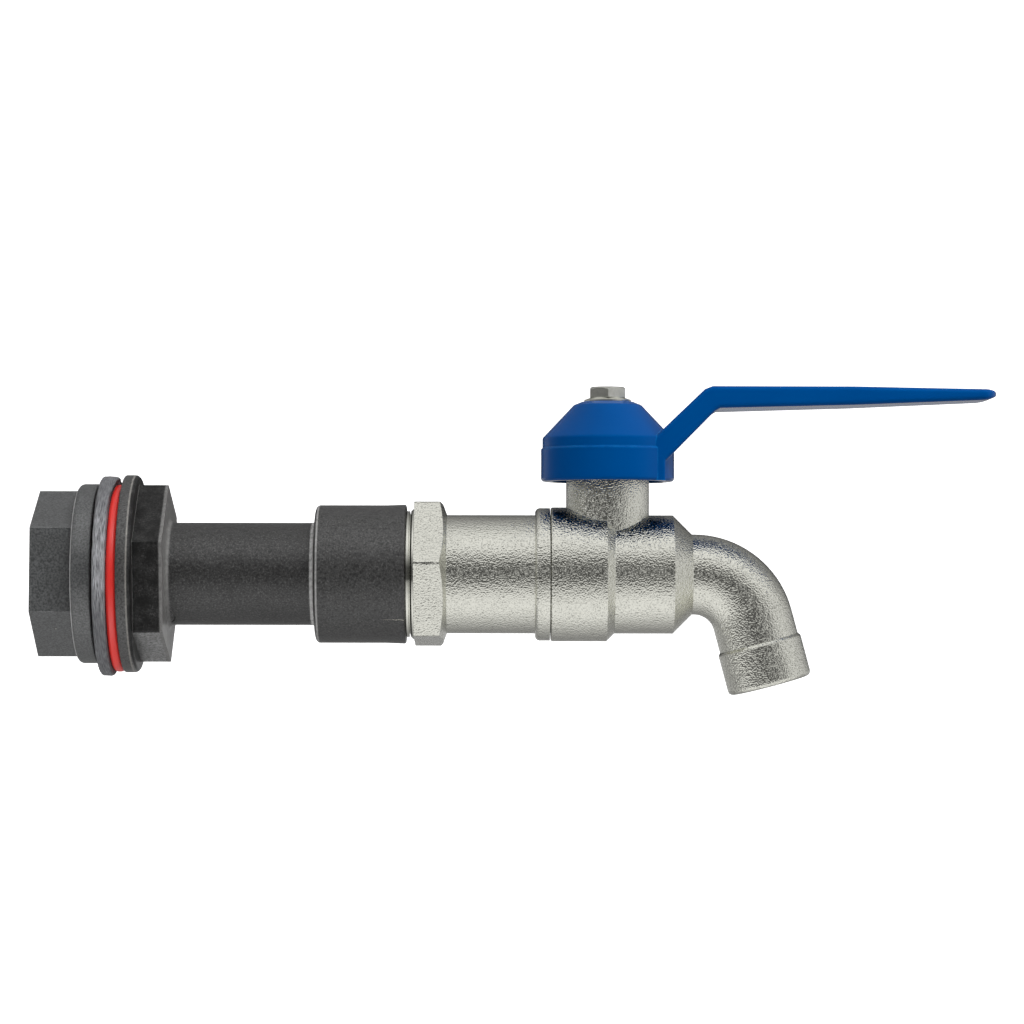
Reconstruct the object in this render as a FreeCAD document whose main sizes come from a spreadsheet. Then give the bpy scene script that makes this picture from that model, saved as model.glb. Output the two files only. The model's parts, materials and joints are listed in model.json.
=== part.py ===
import FreeCAD
import Part
import Sketcher
import math
import os
import re

# Water butt tap. Millimetres, +Z up. X runs along the pipe from the tank to the spout.
# The origin is the centre of the flange face that seals against the tank wall.

# Driving dimensions: name, value, meaning.
SIZES = (
    ("thread_dia", 20.955, "half-inch pipe thread, outside"),
    ("thread_gap", 0.12, "gap between screwed plain walls, on the radius"),
    ("fit_gap", 0.1, "close fit of still pieces"),
    ("run_gap", 0.3, "gap around turning pieces"),
    ("edge_round", 0.4, "small edge rounding"),
    ("overrun", 1.0, "cuts run past the faces they open"),
    ("waterway_dia", 10.0, "bore of adapter, seats and ball"),
    ("flange_dia", 40.4, "connector flange"),
    ("flange_thick", 3.0, "connector flange along the pipe"),
    ("flange_round", 1.0, "front edge of the connector flange"),
    ("nut_wall", 3.9225, "backnut wall at the middle of a flat"),
    ("nut_hex_length", 8.4, "backnut hexagon along the pipe"),
    ("nut_hex_angle", 27.2, "backnut turned on its thread"),
    ("nut_flange_inset", 1.85, "backnut flange inside the connector flange, on the radius"),
    ("nut_flange_thick", 4.2, "backnut flange along the pipe"),
    ("nut_flange_round", 1.2, "outer edge of the backnut flange"),
    ("nut_bore_gap", 0.3, "backnut bore over the thread, on the radius"),
    ("nut_gap", 0.45, "backnut stands off the rubber washer"),
    ("rubber_overhang", 0.3, "rubber washer outside the connector flange, on the radius"),
    ("rubber_play", 0.7725, "rubber washer hole over the thread, on the radius"),
    ("rubber_thick", 2.7, "rubber washer thickness"),
    ("rubber_round", 0.8, "rubber washer edges"),
    ("red_inset", 1.05, "red washer inside the connector flange, on the radius"),
    ("red_play", 1.2225, "red washer hole over the thread, on the radius"),
    ("red_thick", 2.05, "red washer thickness"),
    ("washer_rest_gap", 0.3, "gap over the thread where a washer hangs"),
    ("spigot_length", 16.4, "threaded spigot inside the tank"),
    ("spigot_chamfer", 1.0, "lead on the thread ends"),
    ("hex_ledge", 1.725, "flange beyond the connector hexagon's corners"),
    ("connector_hex_length", 6.0, "connector hexagon along the pipe"),
    ("connector_hex_angle", 40.0, "connector hexagon turned about the pipe"),
    ("connector_hex_round", 0.8, "corners of the connector hexagon"),
    ("tube_dia", 20.95, "smooth tube outside"),
    ("tube_root_round", 1.2, "tube root at the hexagon"),
    ("connector_length", 57.5, "sealing face to the socket mouth"),
    ("spigot_bore", 13.0, "bore of the spigot"),
    ("tube_bore", 14.0, "bore of flange and tube"),
    ("socket_wall", 3.5025, "socket wall over the thread"),
    ("socket_length", 18.2, "socket along the pipe"),
    ("socket_flare", 0.3, "socket mouth larger by this"),
    ("socket_flare_length", 4.0, "length of the flare"),
    ("socket_floor", 2.2, "socket beyond the end of its thread"),
    ("shoulder_length", 1.1, "slope from tube to socket"),
    ("shoulder_round", 0.9, "outer edge of that slope"),
    ("adapter_gap", 0.15, "socket mouth to the first ring"),
    ("thread_end_gap", 3.0, "adapter thread short of the socket's depth"),
    ("ring_one_lip", 2.4225, "first turned ring over the thread, on the radius"),
    ("ring_one_width", 0.55, "first ring along the pipe"),
    ("ring_groove_depth", 0.65, "groove after the first ring"),
    ("ring_groove_width", 0.3, "groove along the pipe"),
    ("ring_two_lip", 0.4, "second turned ring over the first, on the radius"),
    ("ring_two_width", 0.7, "second ring along the pipe"),
    ("ring_two_bevel", 0.35, "bevel of the second ring"),
    ("barrel_dia", 24.25, "adapter barrel and outlet barrel"),
    ("barrel_length", 18.0, "adapter barrel along the pipe"),
    ("adapter_hex_rise", 1.7, "adapter hexagon's flats over the barrel"),
    ("adapter_hex_length", 6.6, "adapter hexagon along the pipe"),
    ("adapter_hex_angle", 52.0, "adapter hexagon turned about the pipe"),
    ("adapter_hex_round", 0.9, "corners of the adapter hexagon"),
    ("adapter_hex_slope", 1.4, "coned end of the hexagon, along the pipe"),
    ("collar_rise", 1.45, "adapter collar over the barrel"),
    ("collar_length", 3.05, "collar along the pipe"),
    ("collar_round", 1.0, "collar edge"),
    ("seam", 0.15, "seam between collar and body"),
    ("chamber_rise", 0.15, "ball chamber over the collar"),
    ("chamber_reach", 11.65, "body joint face to the stem axis"),
    ("chamber_length", 11.4, "ball chamber along the pipe"),
    ("chamber_slope", 1.6, "slope from chamber to outlet barrel"),
    ("outlet_reach", 13.35, "stem axis to the end of the outlet barrel"),
    ("cone_length", 3.9, "cone from outlet barrel to spout"),
    ("spout_dia", 16.45, "spout tube outside"),
    ("spout_wall", 2.325, "spout tube wall"),
    ("spout_lead", 0.5, "straight spout before the bend"),
    ("bend_radius", 12.4, "bend on the spout axis"),
    ("bend_turn", 75.0, "bend angle"),
    ("spout_leg", 5.5, "straight spout after the bend"),
    ("nose_lip", 0.45, "end ring over the spout, on the radius"),
    ("nose_length", 8.4, "end ring along the spout"),
    ("nose_round", 1.0, "end edge of the spout"),
    ("ball_dia", 17.5, "ball"),
    ("ball_gap", 0.1, "seat face off the ball"),
    ("ball_room", 0.5, "chamber around the ball"),
    ("slot_width", 3.3, "slot in the ball"),
    ("slot_depth", 2.55, "slot in the ball, from its top"),
    ("seat_inset", 0.55, "seat inside the ball's outline, on the radius"),
    ("seat_lap", 3.15, "seat reaches over the ball"),
    ("seat_thick", 3.8, "seat along the pipe"),
    ("seat_proud", 0.2, "seat stands out of its pocket"),
    ("seat_wall", 2.7, "adapter wall around the seat"),
    ("joint_end_gap", 0.3, "adapter end to the end of the joint bore"),
    ("seal_wire", 1.3, "body seal ring section"),
    ("seal_play", 0.15, "body seal ring over the adapter end, on the radius"),
    ("tang_gap", 0.15, "stem tang in the slot, each side"),
    ("tang_lift", 0.2, "stem tang over the slot's floor"),
    ("tang_width", 6.6, "stem tang width"),
    ("shoulder_lift", 0.65, "stem shoulder over the ball"),
    ("stem_shoulder_lip", 1.0, "stem shoulder over the shaft, on the radius"),
    ("stem_shoulder_thick", 1.8, "stem shoulder thickness"),
    ("shaft_dia", 8.0, "stem shaft"),
    ("shaft_proud", 0.6, "round shaft over the gland nut"),
    ("stem_square", 5.4, "square at the stem head"),
    ("square_height", 5.4, "square at the stem head, height"),
    ("thrust_thick", 0.8, "thrust washer thickness"),
    ("groove_land", 0.6, "land on either side of the stem groove"),
    ("o_ring_wire", 1.2, "stem ring section"),
    ("groove_play", 0.15, "stem groove over the ring, each side"),
    ("packing_wall", 1.9, "packing wall"),
    ("packing_height", 3.8, "packing height"),
    ("gland_thread_length", 5.1, "gland nut in the neck"),
    ("gland_gap", 0.2, "gland hexagon over the neck"),
    ("gland_hex_lip", 0.3, "gland hexagon's flats over its thread"),
    ("gland_hex_height", 2.8, "gland hexagon height"),
    ("neck_dia", 17.0, "neck outside"),
    ("stop_lug_high", 2.25, "stop lug stands out of the neck"),
    ("stop_lug_drop", 1.0, "stop lug under the neck's top"),
    ("stop_lug_sweep", 24.0, "stop lug sweep"),
    ("stop_angle", 135.0, "stop lug about the stem"),
    ("stop_clear", 0.7, "bell clear of the stop lug"),
    ("stop_rib_clear", 0.5, "stop ribs clear of the neck"),
    ("stop_rib_rise", 0.5, "stop ribs over the neck's top"),
    ("stop_rib_sweep", 14.0, "stop rib sweep"),
    ("stop_inset", 0.8, "stops above the bell rim"),
    ("stop_gap", 1.7, "free angle at each end of the travel"),
    ("lever_turn", 90.0, "travel of the lever"),
    ("bell_wall", 2.2, "bell wall"),
    ("skirt_drop", 5.0, "bell rim under the neck's top"),
    ("skirt_height", 6.9, "bell skirt"),
    ("ledge", 0.3, "ledge width and fall"),
    ("bell_ring_height", 2.0, "upright ring over the ledge"),
    ("hollow_lift", 0.3, "hollow starts to narrow above the skirt"),
    ("hub_clear", 1.0, "hub over the gland nut"),
    ("hub_dia", 12.0, "hub in the bell"),
    ("hub_depth", 2.6, "hub in the hollow"),
    ("hub_gap", 2.2, "hollow around the hub"),
    ("socket_end_gap", 0.2, "stem's top to the roof of its square hole"),
    ("crown_wall", 2.15, "crown over the square hole"),
    ("crown_margin", 0.5, "crown around the screw flange"),
    ("crown_slope", 1.65, "slope around the crown, on the radius"),
    ("crown_rise", 0.65, "slope around the crown, in height"),
    ("bell_rim_round", 0.7, "bell rim"),
    ("bell_edge_round", 0.5, "bell cone edges"),
    ("cheek_proud", 1.237, "cheek corners beyond the skirt"),
    ("cheek_height", 5.0, "cheeks over the bell rim"),
    ("cheek_round", 0.6, "cheek corners"),
    ("arm_width", 18.8, "arm and cheeks across"),
    ("arm_root_sink", 4.0, "arm root inside the skirt"),
    ("arm_root_rise", 5.58, "arm root over the bell rim"),
    ("arm_root_thick", 6.0, "arm root thickness"),
    ("arm_root_lean", 12.0, "arm root section leans back"),
    ("arm_reach", 8.2, "lever bend beyond the skirt"),
    ("arm_rise", 16.95, "lever bend over the bell rim"),
    ("bend_thick", 4.7, "lever bend thickness"),
    ("bend_lean", 18.7, "lever bend section leans back"),
    ("bend_ease", 1.3, "back of the lever bend behind its front"),
    ("bend_drop", 0.6, "back of the lever bend under its front"),
    ("bend_swell", 0.18, "back of the lever bend thicker than its front"),
    ("bend_tilt", 6.8, "back of the lever bend leans further back"),
    ("bend_width", 18.4, "lever width at the bend"),
    ("waist_reach", 28.15, "lever bend to the middle of the lever"),
    ("waist_rise", 0.39, "middle of the lever over the bend"),
    ("waist_thick", 3.75, "middle of the lever, thickness"),
    ("waist_width", 16.0, "middle of the lever, width"),
    ("grip_reach", 26.2, "middle of the lever to the start of its tip"),
    ("grip_rise", 0.35, "start of the lever tip over the middle"),
    ("grip_thick", 2.25, "start of the lever tip, thickness"),
    ("grip_width", 13.1, "start of the lever tip, width"),
    ("lever_flat", 0.2, "half of the flat edge left at the lever tip"),
    ("tip_length", 3.2, "lever tip"),
    ("tip_rise", 0.2, "lever tip over its start"),
    ("screw_dia", 3.9, "handle screw shank"),
    ("screw_hole_gap", 0.15, "gap around the shank, on the radius"),
    ("screw_length", 8.35, "shank under the flange"),
    ("screw_end_gap", 1.0, "screw hole beyond the shank"),
    ("screw_flange_dia", 9.6, "screw flange"),
    ("screw_flange_thick", 0.85, "screw flange thickness"),
    ("screw_flange_lip", 1.25, "screw flange beyond the flats of the head"),
    ("screw_hex_height", 2.2, "screw head height"),
    ("screw_hex_slope", 0.5, "coned top of the screw head"),
    ("screw_hex_angle", 30.0, "screw head turned about the stem"),
)

# Sizes and positions that follow from those, each after the ones it needs.
PLACES = (
    ("nut_hex_across", "thread_dia + 2 * (nut_bore_gap + nut_wall)"),
    ("nut_flange_dia", "flange_dia - 2 * nut_flange_inset"),
    ("rubber_dia", "flange_dia + 2 * rubber_overhang"),
    ("rubber_hole", "thread_dia + 2 * rubber_play"),
    ("red_dia", "flange_dia - 2 * red_inset"),
    ("red_hole", "thread_dia + 2 * red_play"),
    ("connector_hex_across", "(flange_dia - 2 * hex_ledge) * cos(30)"),
    ("socket_dia", "thread_dia + 2 * (thread_gap + socket_wall)"),
    ("socket_depth", "socket_length - socket_floor"),
    ("tube_end_x", "connector_length - socket_length - shoulder_length"),
    ("adapter_x", "connector_length + adapter_gap"),
    ("adapter_thread_length", "socket_depth - thread_end_gap"),
    ("ring_one_dia", "thread_dia + 2 * ring_one_lip"),
    ("ring_groove_dia", "ring_one_dia - 2 * ring_groove_depth"),
    ("ring_two_dia", "ring_one_dia + 2 * ring_two_lip"),
    ("ring_two_x", "ring_one_width + ring_groove_width"),
    ("adapter_hex_x", "ring_two_x + ring_two_width"),
    ("adapter_hex_across", "barrel_dia + 2 * adapter_hex_rise"),
    ("adapter_barrel_x", "adapter_hex_x + adapter_hex_length"),
    ("collar_x", "adapter_barrel_x + barrel_length"),
    ("collar_dia", "barrel_dia + 2 * collar_rise"),
    ("adapter_length", "collar_x + collar_length"),
    ("stem_x", "adapter_x + adapter_length + seam + chamber_reach"),
    ("chamber_dia", "collar_dia + 2 * chamber_rise"),
    ("chamber_bore", "ball_dia + 2 * ball_room"),
    ("seat_dia", "ball_dia - 2 * seat_inset"),
    ("seat_near", "ball_dia / 2 - seat_lap"),
    ("seat_far", "seat_near + seat_thick"),
    ("adapter_spigot_dia", "seat_dia + 2 * (fit_gap + seat_wall)"),
    ("spigot_end_x", "stem_x - adapter_x - seat_near - seat_proud"),
    ("joint_step", "seat_near + seat_proud - joint_end_gap"),
    ("seal_mid_dia", "adapter_spigot_dia + seal_wire + 2 * seal_play"),
    ("spout_bore", "spout_dia - 2 * spout_wall"),
    ("nose_dia", "spout_dia + 2 * nose_lip"),
    ("bend_x", "outlet_reach + cone_length + spout_lead"),
    ("leg_x", "bend_x + bend_radius * sin(bend_turn)"),
    ("leg_z", "bend_radius * (cos(bend_turn) - 1)"),
    ("slot_floor", "ball_dia / 2 - slot_depth"),
    ("tang_foot", "slot_floor + tang_lift"),
    ("tang_thick", "slot_width - 2 * tang_gap"),
    ("stem_shoulder_dia", "shaft_dia + 2 * stem_shoulder_lip"),
    ("stem_shoulder_low", "ball_dia / 2 + shoulder_lift"),
    ("stem_shoulder_top", "stem_shoulder_low + stem_shoulder_thick"),
    ("thrust_low", "stem_shoulder_top + run_gap"),
    ("thrust_top", "thrust_low + thrust_thick"),
    ("stem_groove_low", "thrust_top + groove_land"),
    ("stem_groove_top", "stem_groove_low + o_ring_wire + 2 * groove_play"),
    ("o_ring_mid_dia", "shaft_dia + 2 * (run_gap - fit_gap) - o_ring_wire"),
    ("stem_groove_dia", "o_ring_mid_dia - o_ring_wire - 2 * fit_gap"),
    ("packing_low", "stem_groove_top + groove_land"),
    ("packing_dia", "shaft_dia + 2 * (run_gap + packing_wall)"),
    ("packing_top", "packing_low + packing_height"),
    ("gland_foot", "packing_top + fit_gap"),
    ("neck_top", "gland_foot + gland_thread_length"),
    ("gland_hex_low", "neck_top + gland_gap"),
    ("gland_hex_across", "packing_dia + 2 * gland_hex_lip"),
    ("gland_top", "gland_hex_low + gland_hex_height"),
    ("shaft_top", "gland_top + shaft_proud"),
    ("stem_top", "shaft_top + square_height"),
    ("hub_low", "gland_top + hub_clear"),
    ("socket_square", "stem_square + 2 * fit_gap"),
    ("socket_roof", "stem_top + socket_end_gap"),
    ("crown_top", "socket_roof + crown_wall"),
    ("crown_dia", "screw_flange_dia + 2 * crown_margin"),
    ("cone_top", "crown_top - crown_rise"),
    ("cone_top_dia", "crown_dia + 2 * crown_slope"),
    ("stop_lug_dia", "neck_dia + 2 * stop_lug_high"),
    ("stop_rib_dia", "neck_dia + 2 * stop_rib_clear"),
    ("hollow_dia", "stop_lug_dia + 2 * stop_clear"),
    ("skirt_dia", "hollow_dia + 2 * bell_wall"),
    ("skirt_low", "neck_top - skirt_drop"),
    ("skirt_top", "skirt_low + skirt_height"),
    ("bell_ring_top", "skirt_top + bell_ring_height"),
    ("bell_hollow_shoulder", "skirt_top + hollow_lift"),
    ("bell_roof", "hub_low + hub_depth"),
    ("bell_roof_dia", "hub_dia + 2 * hub_gap"),
    ("stop_low", "skirt_low + stop_inset"),
    ("stop_lug_top", "neck_top - stop_lug_drop"),
    ("stop_rib_top", "neck_top + stop_rib_rise"),
    ("cheek_reach", "sqrt((skirt_dia / 2 + cheek_proud) ^ 2 - (arm_width / 2) ^ 2)"),
    ("arm_root_out", "skirt_dia / 2 - arm_root_sink"),
    ("arm_root_up", "skirt_low + arm_root_rise"),
    ("bend_out", "skirt_dia / 2 + arm_reach"),
    ("bend_up", "skirt_low + arm_rise"),
    ("ease_out", "bend_out - bend_ease"),
    ("ease_up", "bend_up - bend_drop"),
    ("waist_out", "bend_out + waist_reach"),
    ("waist_up", "bend_up + waist_rise"),
    ("grip_out", "waist_out + grip_reach"),
    ("grip_up", "waist_up + grip_rise"),
    ("lever_round", "grip_thick / 2 - lever_flat"),
    ("screw_foot", "crown_top - screw_length"),
    ("screw_hole_low", "screw_foot - screw_end_gap"),
    ("screw_hex_low", "crown_top + screw_flange_thick"),
    ("screw_hex_across", "screw_flange_dia - 2 * screw_flange_lip"),
    ("screw_top", "screw_hex_low + screw_hex_height"),
)

# Lever tip, drawn in to a point: share of its length, then of the width and thickness it starts with.
TIP_STAGES = (("0.5", "0.9", "0.84"), ("0.84", "0.66", "0.54"), ("1", "0.3", "0.16"))

SIZE_NAMES = {name for name, _, _ in SIZES}
PLACE_NAMES = {name for name, _ in PLACES}
HEX_TO_CORNER = 1 / math.cos(math.pi / 6)
# Two places closer than this are the same place.
SLACK = 0.01
FAULTS = {"Invalid", "Error"}
# Rough radius of a fresh sketch, before its constraints pull it to size.
ROUGH = 10
ALONG = FreeCAD.Vector(1, 0, 0)
UP = FreeCAD.Vector(0, 0, 1)


def bound(formula):
    """Spell a formula of size names as an expression on the two sheets."""
    def full(word):
        name = word.group()
        if name in SIZE_NAMES:
            return "Sizes." + name
        if name in PLACE_NAMES:
            return "Places." + name
        return name
    return re.sub(r"[a-z_]+", full, formula)


def fill_sheets():
    sizes = doc.addObject("Spreadsheet::Sheet", "Sizes")
    for row, (name, number, meaning) in enumerate(SIZES, start=1):
        sizes.set("A%d" % row, meaning)
        sizes.set("B%d" % row, str(number))
        sizes.setAlias("B%d" % row, name)
    doc.recompute()
    places = doc.addObject("Spreadsheet::Sheet", "Places")
    for row, (name, formula) in enumerate(PLACES, start=1):
        places.setAlias("B%d" % row, name)
        places.set("B%d" % row, "=" + bound(formula))
    doc.recompute()


def value(name):
    """The number a size or a position has now."""
    sheet = doc.Sizes if name in SIZE_NAMES else doc.Places
    return sheet.get(name)


def new_body(name, across="0", height="0"):
    """A body placed along the pipe and in height by formulas."""
    body = doc.addObject("PartDesign::Body", name)
    body.Label = name
    body.setExpression("Placement.Base.x", bound(across))
    body.setExpression("Placement.Base.z", bound(height))
    return body


def origin_plane(body, role):
    for feature in body.Origin.OriginFeatures:
        if feature.Role == role:
            return feature


def attach(feature, body, role, shift=("0", "0", "0"), axis=UP, angle="0"):
    """Set a feature on one of the body's planes, shifted and turned by formulas."""
    feature.AttachmentSupport = (origin_plane(body, role), [""])
    feature.MapMode = "FlatFace"
    feature.AttachmentOffset = FreeCAD.Placement(FreeCAD.Vector(), FreeCAD.Rotation(axis, 1))
    for letter, formula in zip("xyz", shift):
        feature.setExpression("AttachmentOffset.Base." + letter, bound(formula))
    feature.setExpression("AttachmentOffset.Rotation.Angle", bound(angle))


def pin(sketch, geometry, point, across, up):
    """Hold one sketch point at the place two formulas give."""
    for kind, formula, axis in (("DistanceX", across, -2), ("DistanceY", up, -1)):
        if formula == "0":
            sketch.addConstraint(Sketcher.Constraint("PointOnObject", geometry, point, axis))
        else:
            number = sketch.addConstraint(Sketcher.Constraint(kind, -1, 1, geometry, point, 1.0))
            sketch.setExpression("Constraints[%d]" % number, bound(formula))


def outline(body, role, corners, **placing):
    """A closed outline of straight sides through corners given by formulas."""
    sketch = body.newObject("Sketcher::SketchObject", body.Name + "_outline")
    attach(sketch, body, role, **placing)
    count = len(corners)
    spots = []
    for i in range(count):
        angle = 2 * math.pi * (i + 0.3) / count
        spots.append(FreeCAD.Vector(ROUGH * math.cos(angle), ROUGH * math.sin(angle), 0))
    for i in range(count):
        sketch.addGeometry(Part.LineSegment(spots[i], spots[(i + 1) % count]), False)
    for i in range(count):
        sketch.addConstraint(Sketcher.Constraint("Coincident", i, 2, (i + 1) % count, 1))
    for i, (across, up) in enumerate(corners):
        pin(sketch, i, 1, across, up)
    doc.recompute()
    return sketch


def disc(body, role, diameter, axle=None, **placing):
    """A circle about the sketch origin, with a level axle line below it if asked."""
    sketch = body.newObject("Sketcher::SketchObject", body.Name + "_disc")
    attach(sketch, body, role, **placing)
    sketch.addGeometry(Part.Circle(FreeCAD.Vector(), UP, ROUGH), False)
    sketch.addConstraint(Sketcher.Constraint("Coincident", 0, 3, -1, 1))
    number = sketch.addConstraint(Sketcher.Constraint("Diameter", 0, 2 * ROUGH))
    sketch.setExpression("Constraints[%d]" % number, bound(diameter))
    if axle:
        line = Part.LineSegment(FreeCAD.Vector(-ROUGH, -2 * ROUGH, 0), FreeCAD.Vector(ROUGH, -2 * ROUGH, 0))
        sketch.addGeometry(line, True)
        pin(sketch, 1, 1, "-(%s)" % diameter, axle)
        pin(sketch, 1, 2, diameter, axle)
    doc.recompute()
    return sketch


def soft_oblong(body, width, height, corner, **placing):
    """A rounded rectangle centred on the sketch origin."""
    sketch = body.newObject("Sketcher::SketchObject", body.Name + "_section")
    attach(sketch, body, "YZ_Plane", **placing)
    half_width, half_height, bend = 6.0, 3.0, 1.0
    inner_w = half_width - bend
    inner_h = half_height - bend
    centres = ((inner_w, inner_h), (-inner_w, inner_h), (-inner_w, -inner_h), (inner_w, -inner_h))
    for i, (x, y) in enumerate(centres):
        circle = Part.Circle(FreeCAD.Vector(x, y, 0), UP, bend)
        start = i * math.pi / 2
        sketch.addGeometry(Part.ArcOfCircle(circle, start, start + math.pi / 2), False)
    ends = (
        ((inner_w, half_height), (-inner_w, half_height)),
        ((-half_width, inner_h), (-half_width, -inner_h)),
        ((-inner_w, -half_height), (inner_w, -half_height)),
        ((half_width, -inner_h), (half_width, inner_h)),
    )
    for (x0, y0), (x1, y1) in ends:
        line = Part.LineSegment(FreeCAD.Vector(x0, y0, 0), FreeCAD.Vector(x1, y1, 0))
        sketch.addGeometry(line, False)
    for i in range(4):
        side = 4 + i
        following = (i + 1) % 4
        sketch.addConstraint(Sketcher.Constraint("Tangent", i, 2, side, 1))
        sketch.addConstraint(Sketcher.Constraint("Tangent", side, 2, following, 1))
        sketch.addConstraint(Sketcher.Constraint("Horizontal" if i % 2 == 0 else "Vertical", side))
    for i in range(1, 4):
        sketch.addConstraint(Sketcher.Constraint("Equal", 0, i))
    sketch.addConstraint(Sketcher.Constraint("Symmetric", 0, 3, 2, 3, -1, 1))
    rules = (
        (Sketcher.Constraint("Radius", 0, bend), corner),
        (Sketcher.Constraint("DistanceX", 1, 3, 0, 3, 2 * inner_w), "(%s) - 2 * (%s)" % (width, corner)),
        (Sketcher.Constraint("DistanceY", 2, 3, 1, 3, 2 * inner_h), "(%s) - 2 * (%s)" % (height, corner)),
    )
    for rule, formula in rules:
        number = sketch.addConstraint(rule)
        sketch.setExpression("Constraints[%d]" % number, bound(formula))
    doc.recompute()
    return sketch


def spin(body, sketch, axis, cut=False, sweep=None, middle=False):
    """Turn a sketch about an axis, adding to the body or cutting it."""
    kind = "PartDesign::Groove" if cut else "PartDesign::Revolution"
    feature = body.newObject(kind, body.Name + ("_groove" if cut else "_turned"))
    feature.Profile = sketch
    feature.ReferenceAxis = (sketch, [axis])
    feature.Angle = 360
    feature.Midplane = middle
    if sweep:
        feature.setExpression("Angle", bound(sweep))
    sketch.Visibility = False
    doc.recompute()
    return feature


def turned(body, corners, axis="H_Axis", cut=False, **placing):
    """A turned shape about the pipe (H_Axis) or an upright axis (V_Axis)."""
    return spin(body, outline(body, "XZ_Plane", corners, **placing), axis, cut)


def drilled(body, diameter, start, end, axis="H_Axis"):
    """A plain bore between two stations of the body's axis."""
    radius = "(%s) / 2" % diameter
    if axis == "H_Axis":
        corners = ((start, "0"), (start, radius), (end, radius), (end, "0"))
    else:
        corners = (("0", start), (radius, start), (radius, end), ("0", end))
    return turned(body, corners, axis, cut=True)


def hexagon(body, role, across, height, station, angle):
    feature = body.newObject("PartDesign::AdditivePrism", body.Name + "_hexagon")
    attach(feature, body, role, shift=("0", "0", station), angle=angle)
    feature.Polygon = 6
    feature.setExpression("Circumradius", bound("(%s) / 2 / cos(30)" % across))
    feature.setExpression("Height", bound(height))
    doc.recompute()
    return feature


def block(body, across, deep, low, high, cut=False):
    """An upright square-cornered block centred on the body's axis, or a hole of that shape."""
    x, y = "(%s) / 2" % across, "(%s) / 2" % deep
    corners = (("-" + x, "-" + y), (x, "-" + y), (x, y), ("-" + x, y))
    sketch = outline(body, "XY_Plane", corners, shift=("0", "0", low))
    kind = "PartDesign::Pocket" if cut else "PartDesign::Pad"
    feature = body.newObject(kind, body.Name + "_block")
    feature.Profile = sketch
    feature.Reversed = cut
    feature.setExpression("Length", bound("(%s) - (%s)" % (high, low)))
    sketch.Visibility = False
    doc.recompute()
    return feature


def round_over(body, names, size):
    """Round the named edges of the body's last feature."""
    feature = body.newObject("PartDesign::Fillet", body.Name + "_round")
    feature.Base = (body.Tip, names) if body.Tip != feature else (feature.BaseFeature, names)
    feature.setExpression("Radius", bound(size))
    doc.recompute()
    return feature


def ring_edges(body, axis, *rings):
    """Names of the circular edges with the given radius and station on an axis."""
    names = []
    for number, edge in enumerate(body.Tip.Shape.Edges, start=1):
        if not isinstance(edge.Curve, Part.Circle):
            continue
        station = edge.Curve.Center.dot(axis)
        for radius, place in rings:
            if abs(edge.Curve.Radius - radius) < SLACK and abs(station - place) < SLACK:
                names.append("Edge%d" % number)
    return names


def make_backnut():
    body = new_body("backnut", "-(red_thick + rubber_thick + nut_gap)")
    turned(body, (
        ("-nut_flange_thick", "0"),
        ("-nut_flange_thick", "nut_flange_dia / 2"),
        ("0", "nut_flange_dia / 2"),
        ("0", "0"),
    ))
    rim = value("nut_flange_dia") / 2
    round_over(body, ring_edges(body, ALONG, (rim, -value("nut_flange_thick"))), "nut_flange_round")
    round_over(body, ring_edges(body, ALONG, (rim, 0)), "edge_round")
    hexagon(body, "YZ_Plane", "nut_hex_across", "nut_hex_length",
            "-nut_flange_thick - nut_hex_length", "nut_hex_angle")
    drilled(body, "thread_dia + 2 * nut_bore_gap", "-nut_flange_thick - nut_hex_length - overrun", "overrun")
    return body


def make_washer(name, across, outside, hole, thick, corner):
    body = new_body(name, across, "-((%s - thread_dia) / 2 - washer_rest_gap)" % hole)
    turned(body, (
        ("-" + thick, hole + " / 2"),
        ("-" + thick, outside + " / 2"),
        ("0", outside + " / 2"),
        ("0", hole + " / 2"),
    ))
    rim = value(outside) / 2
    round_over(body, ring_edges(body, ALONG, (rim, 0), (rim, -value(thick))), corner)
    return body


def hex_edges(body, across):
    """The long edges of a hexagon about the pipe, by its size across the flats."""
    corner = value(across) / 2 * HEX_TO_CORNER
    found = []
    for number, edge in enumerate(body.Tip.Shape.Edges, start=1):
        middle = edge.CenterOfMass
        if abs(math.hypot(middle.y, middle.z) - corner) < SLACK:
            found.append("Edge%d" % number)
    return found


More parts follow.
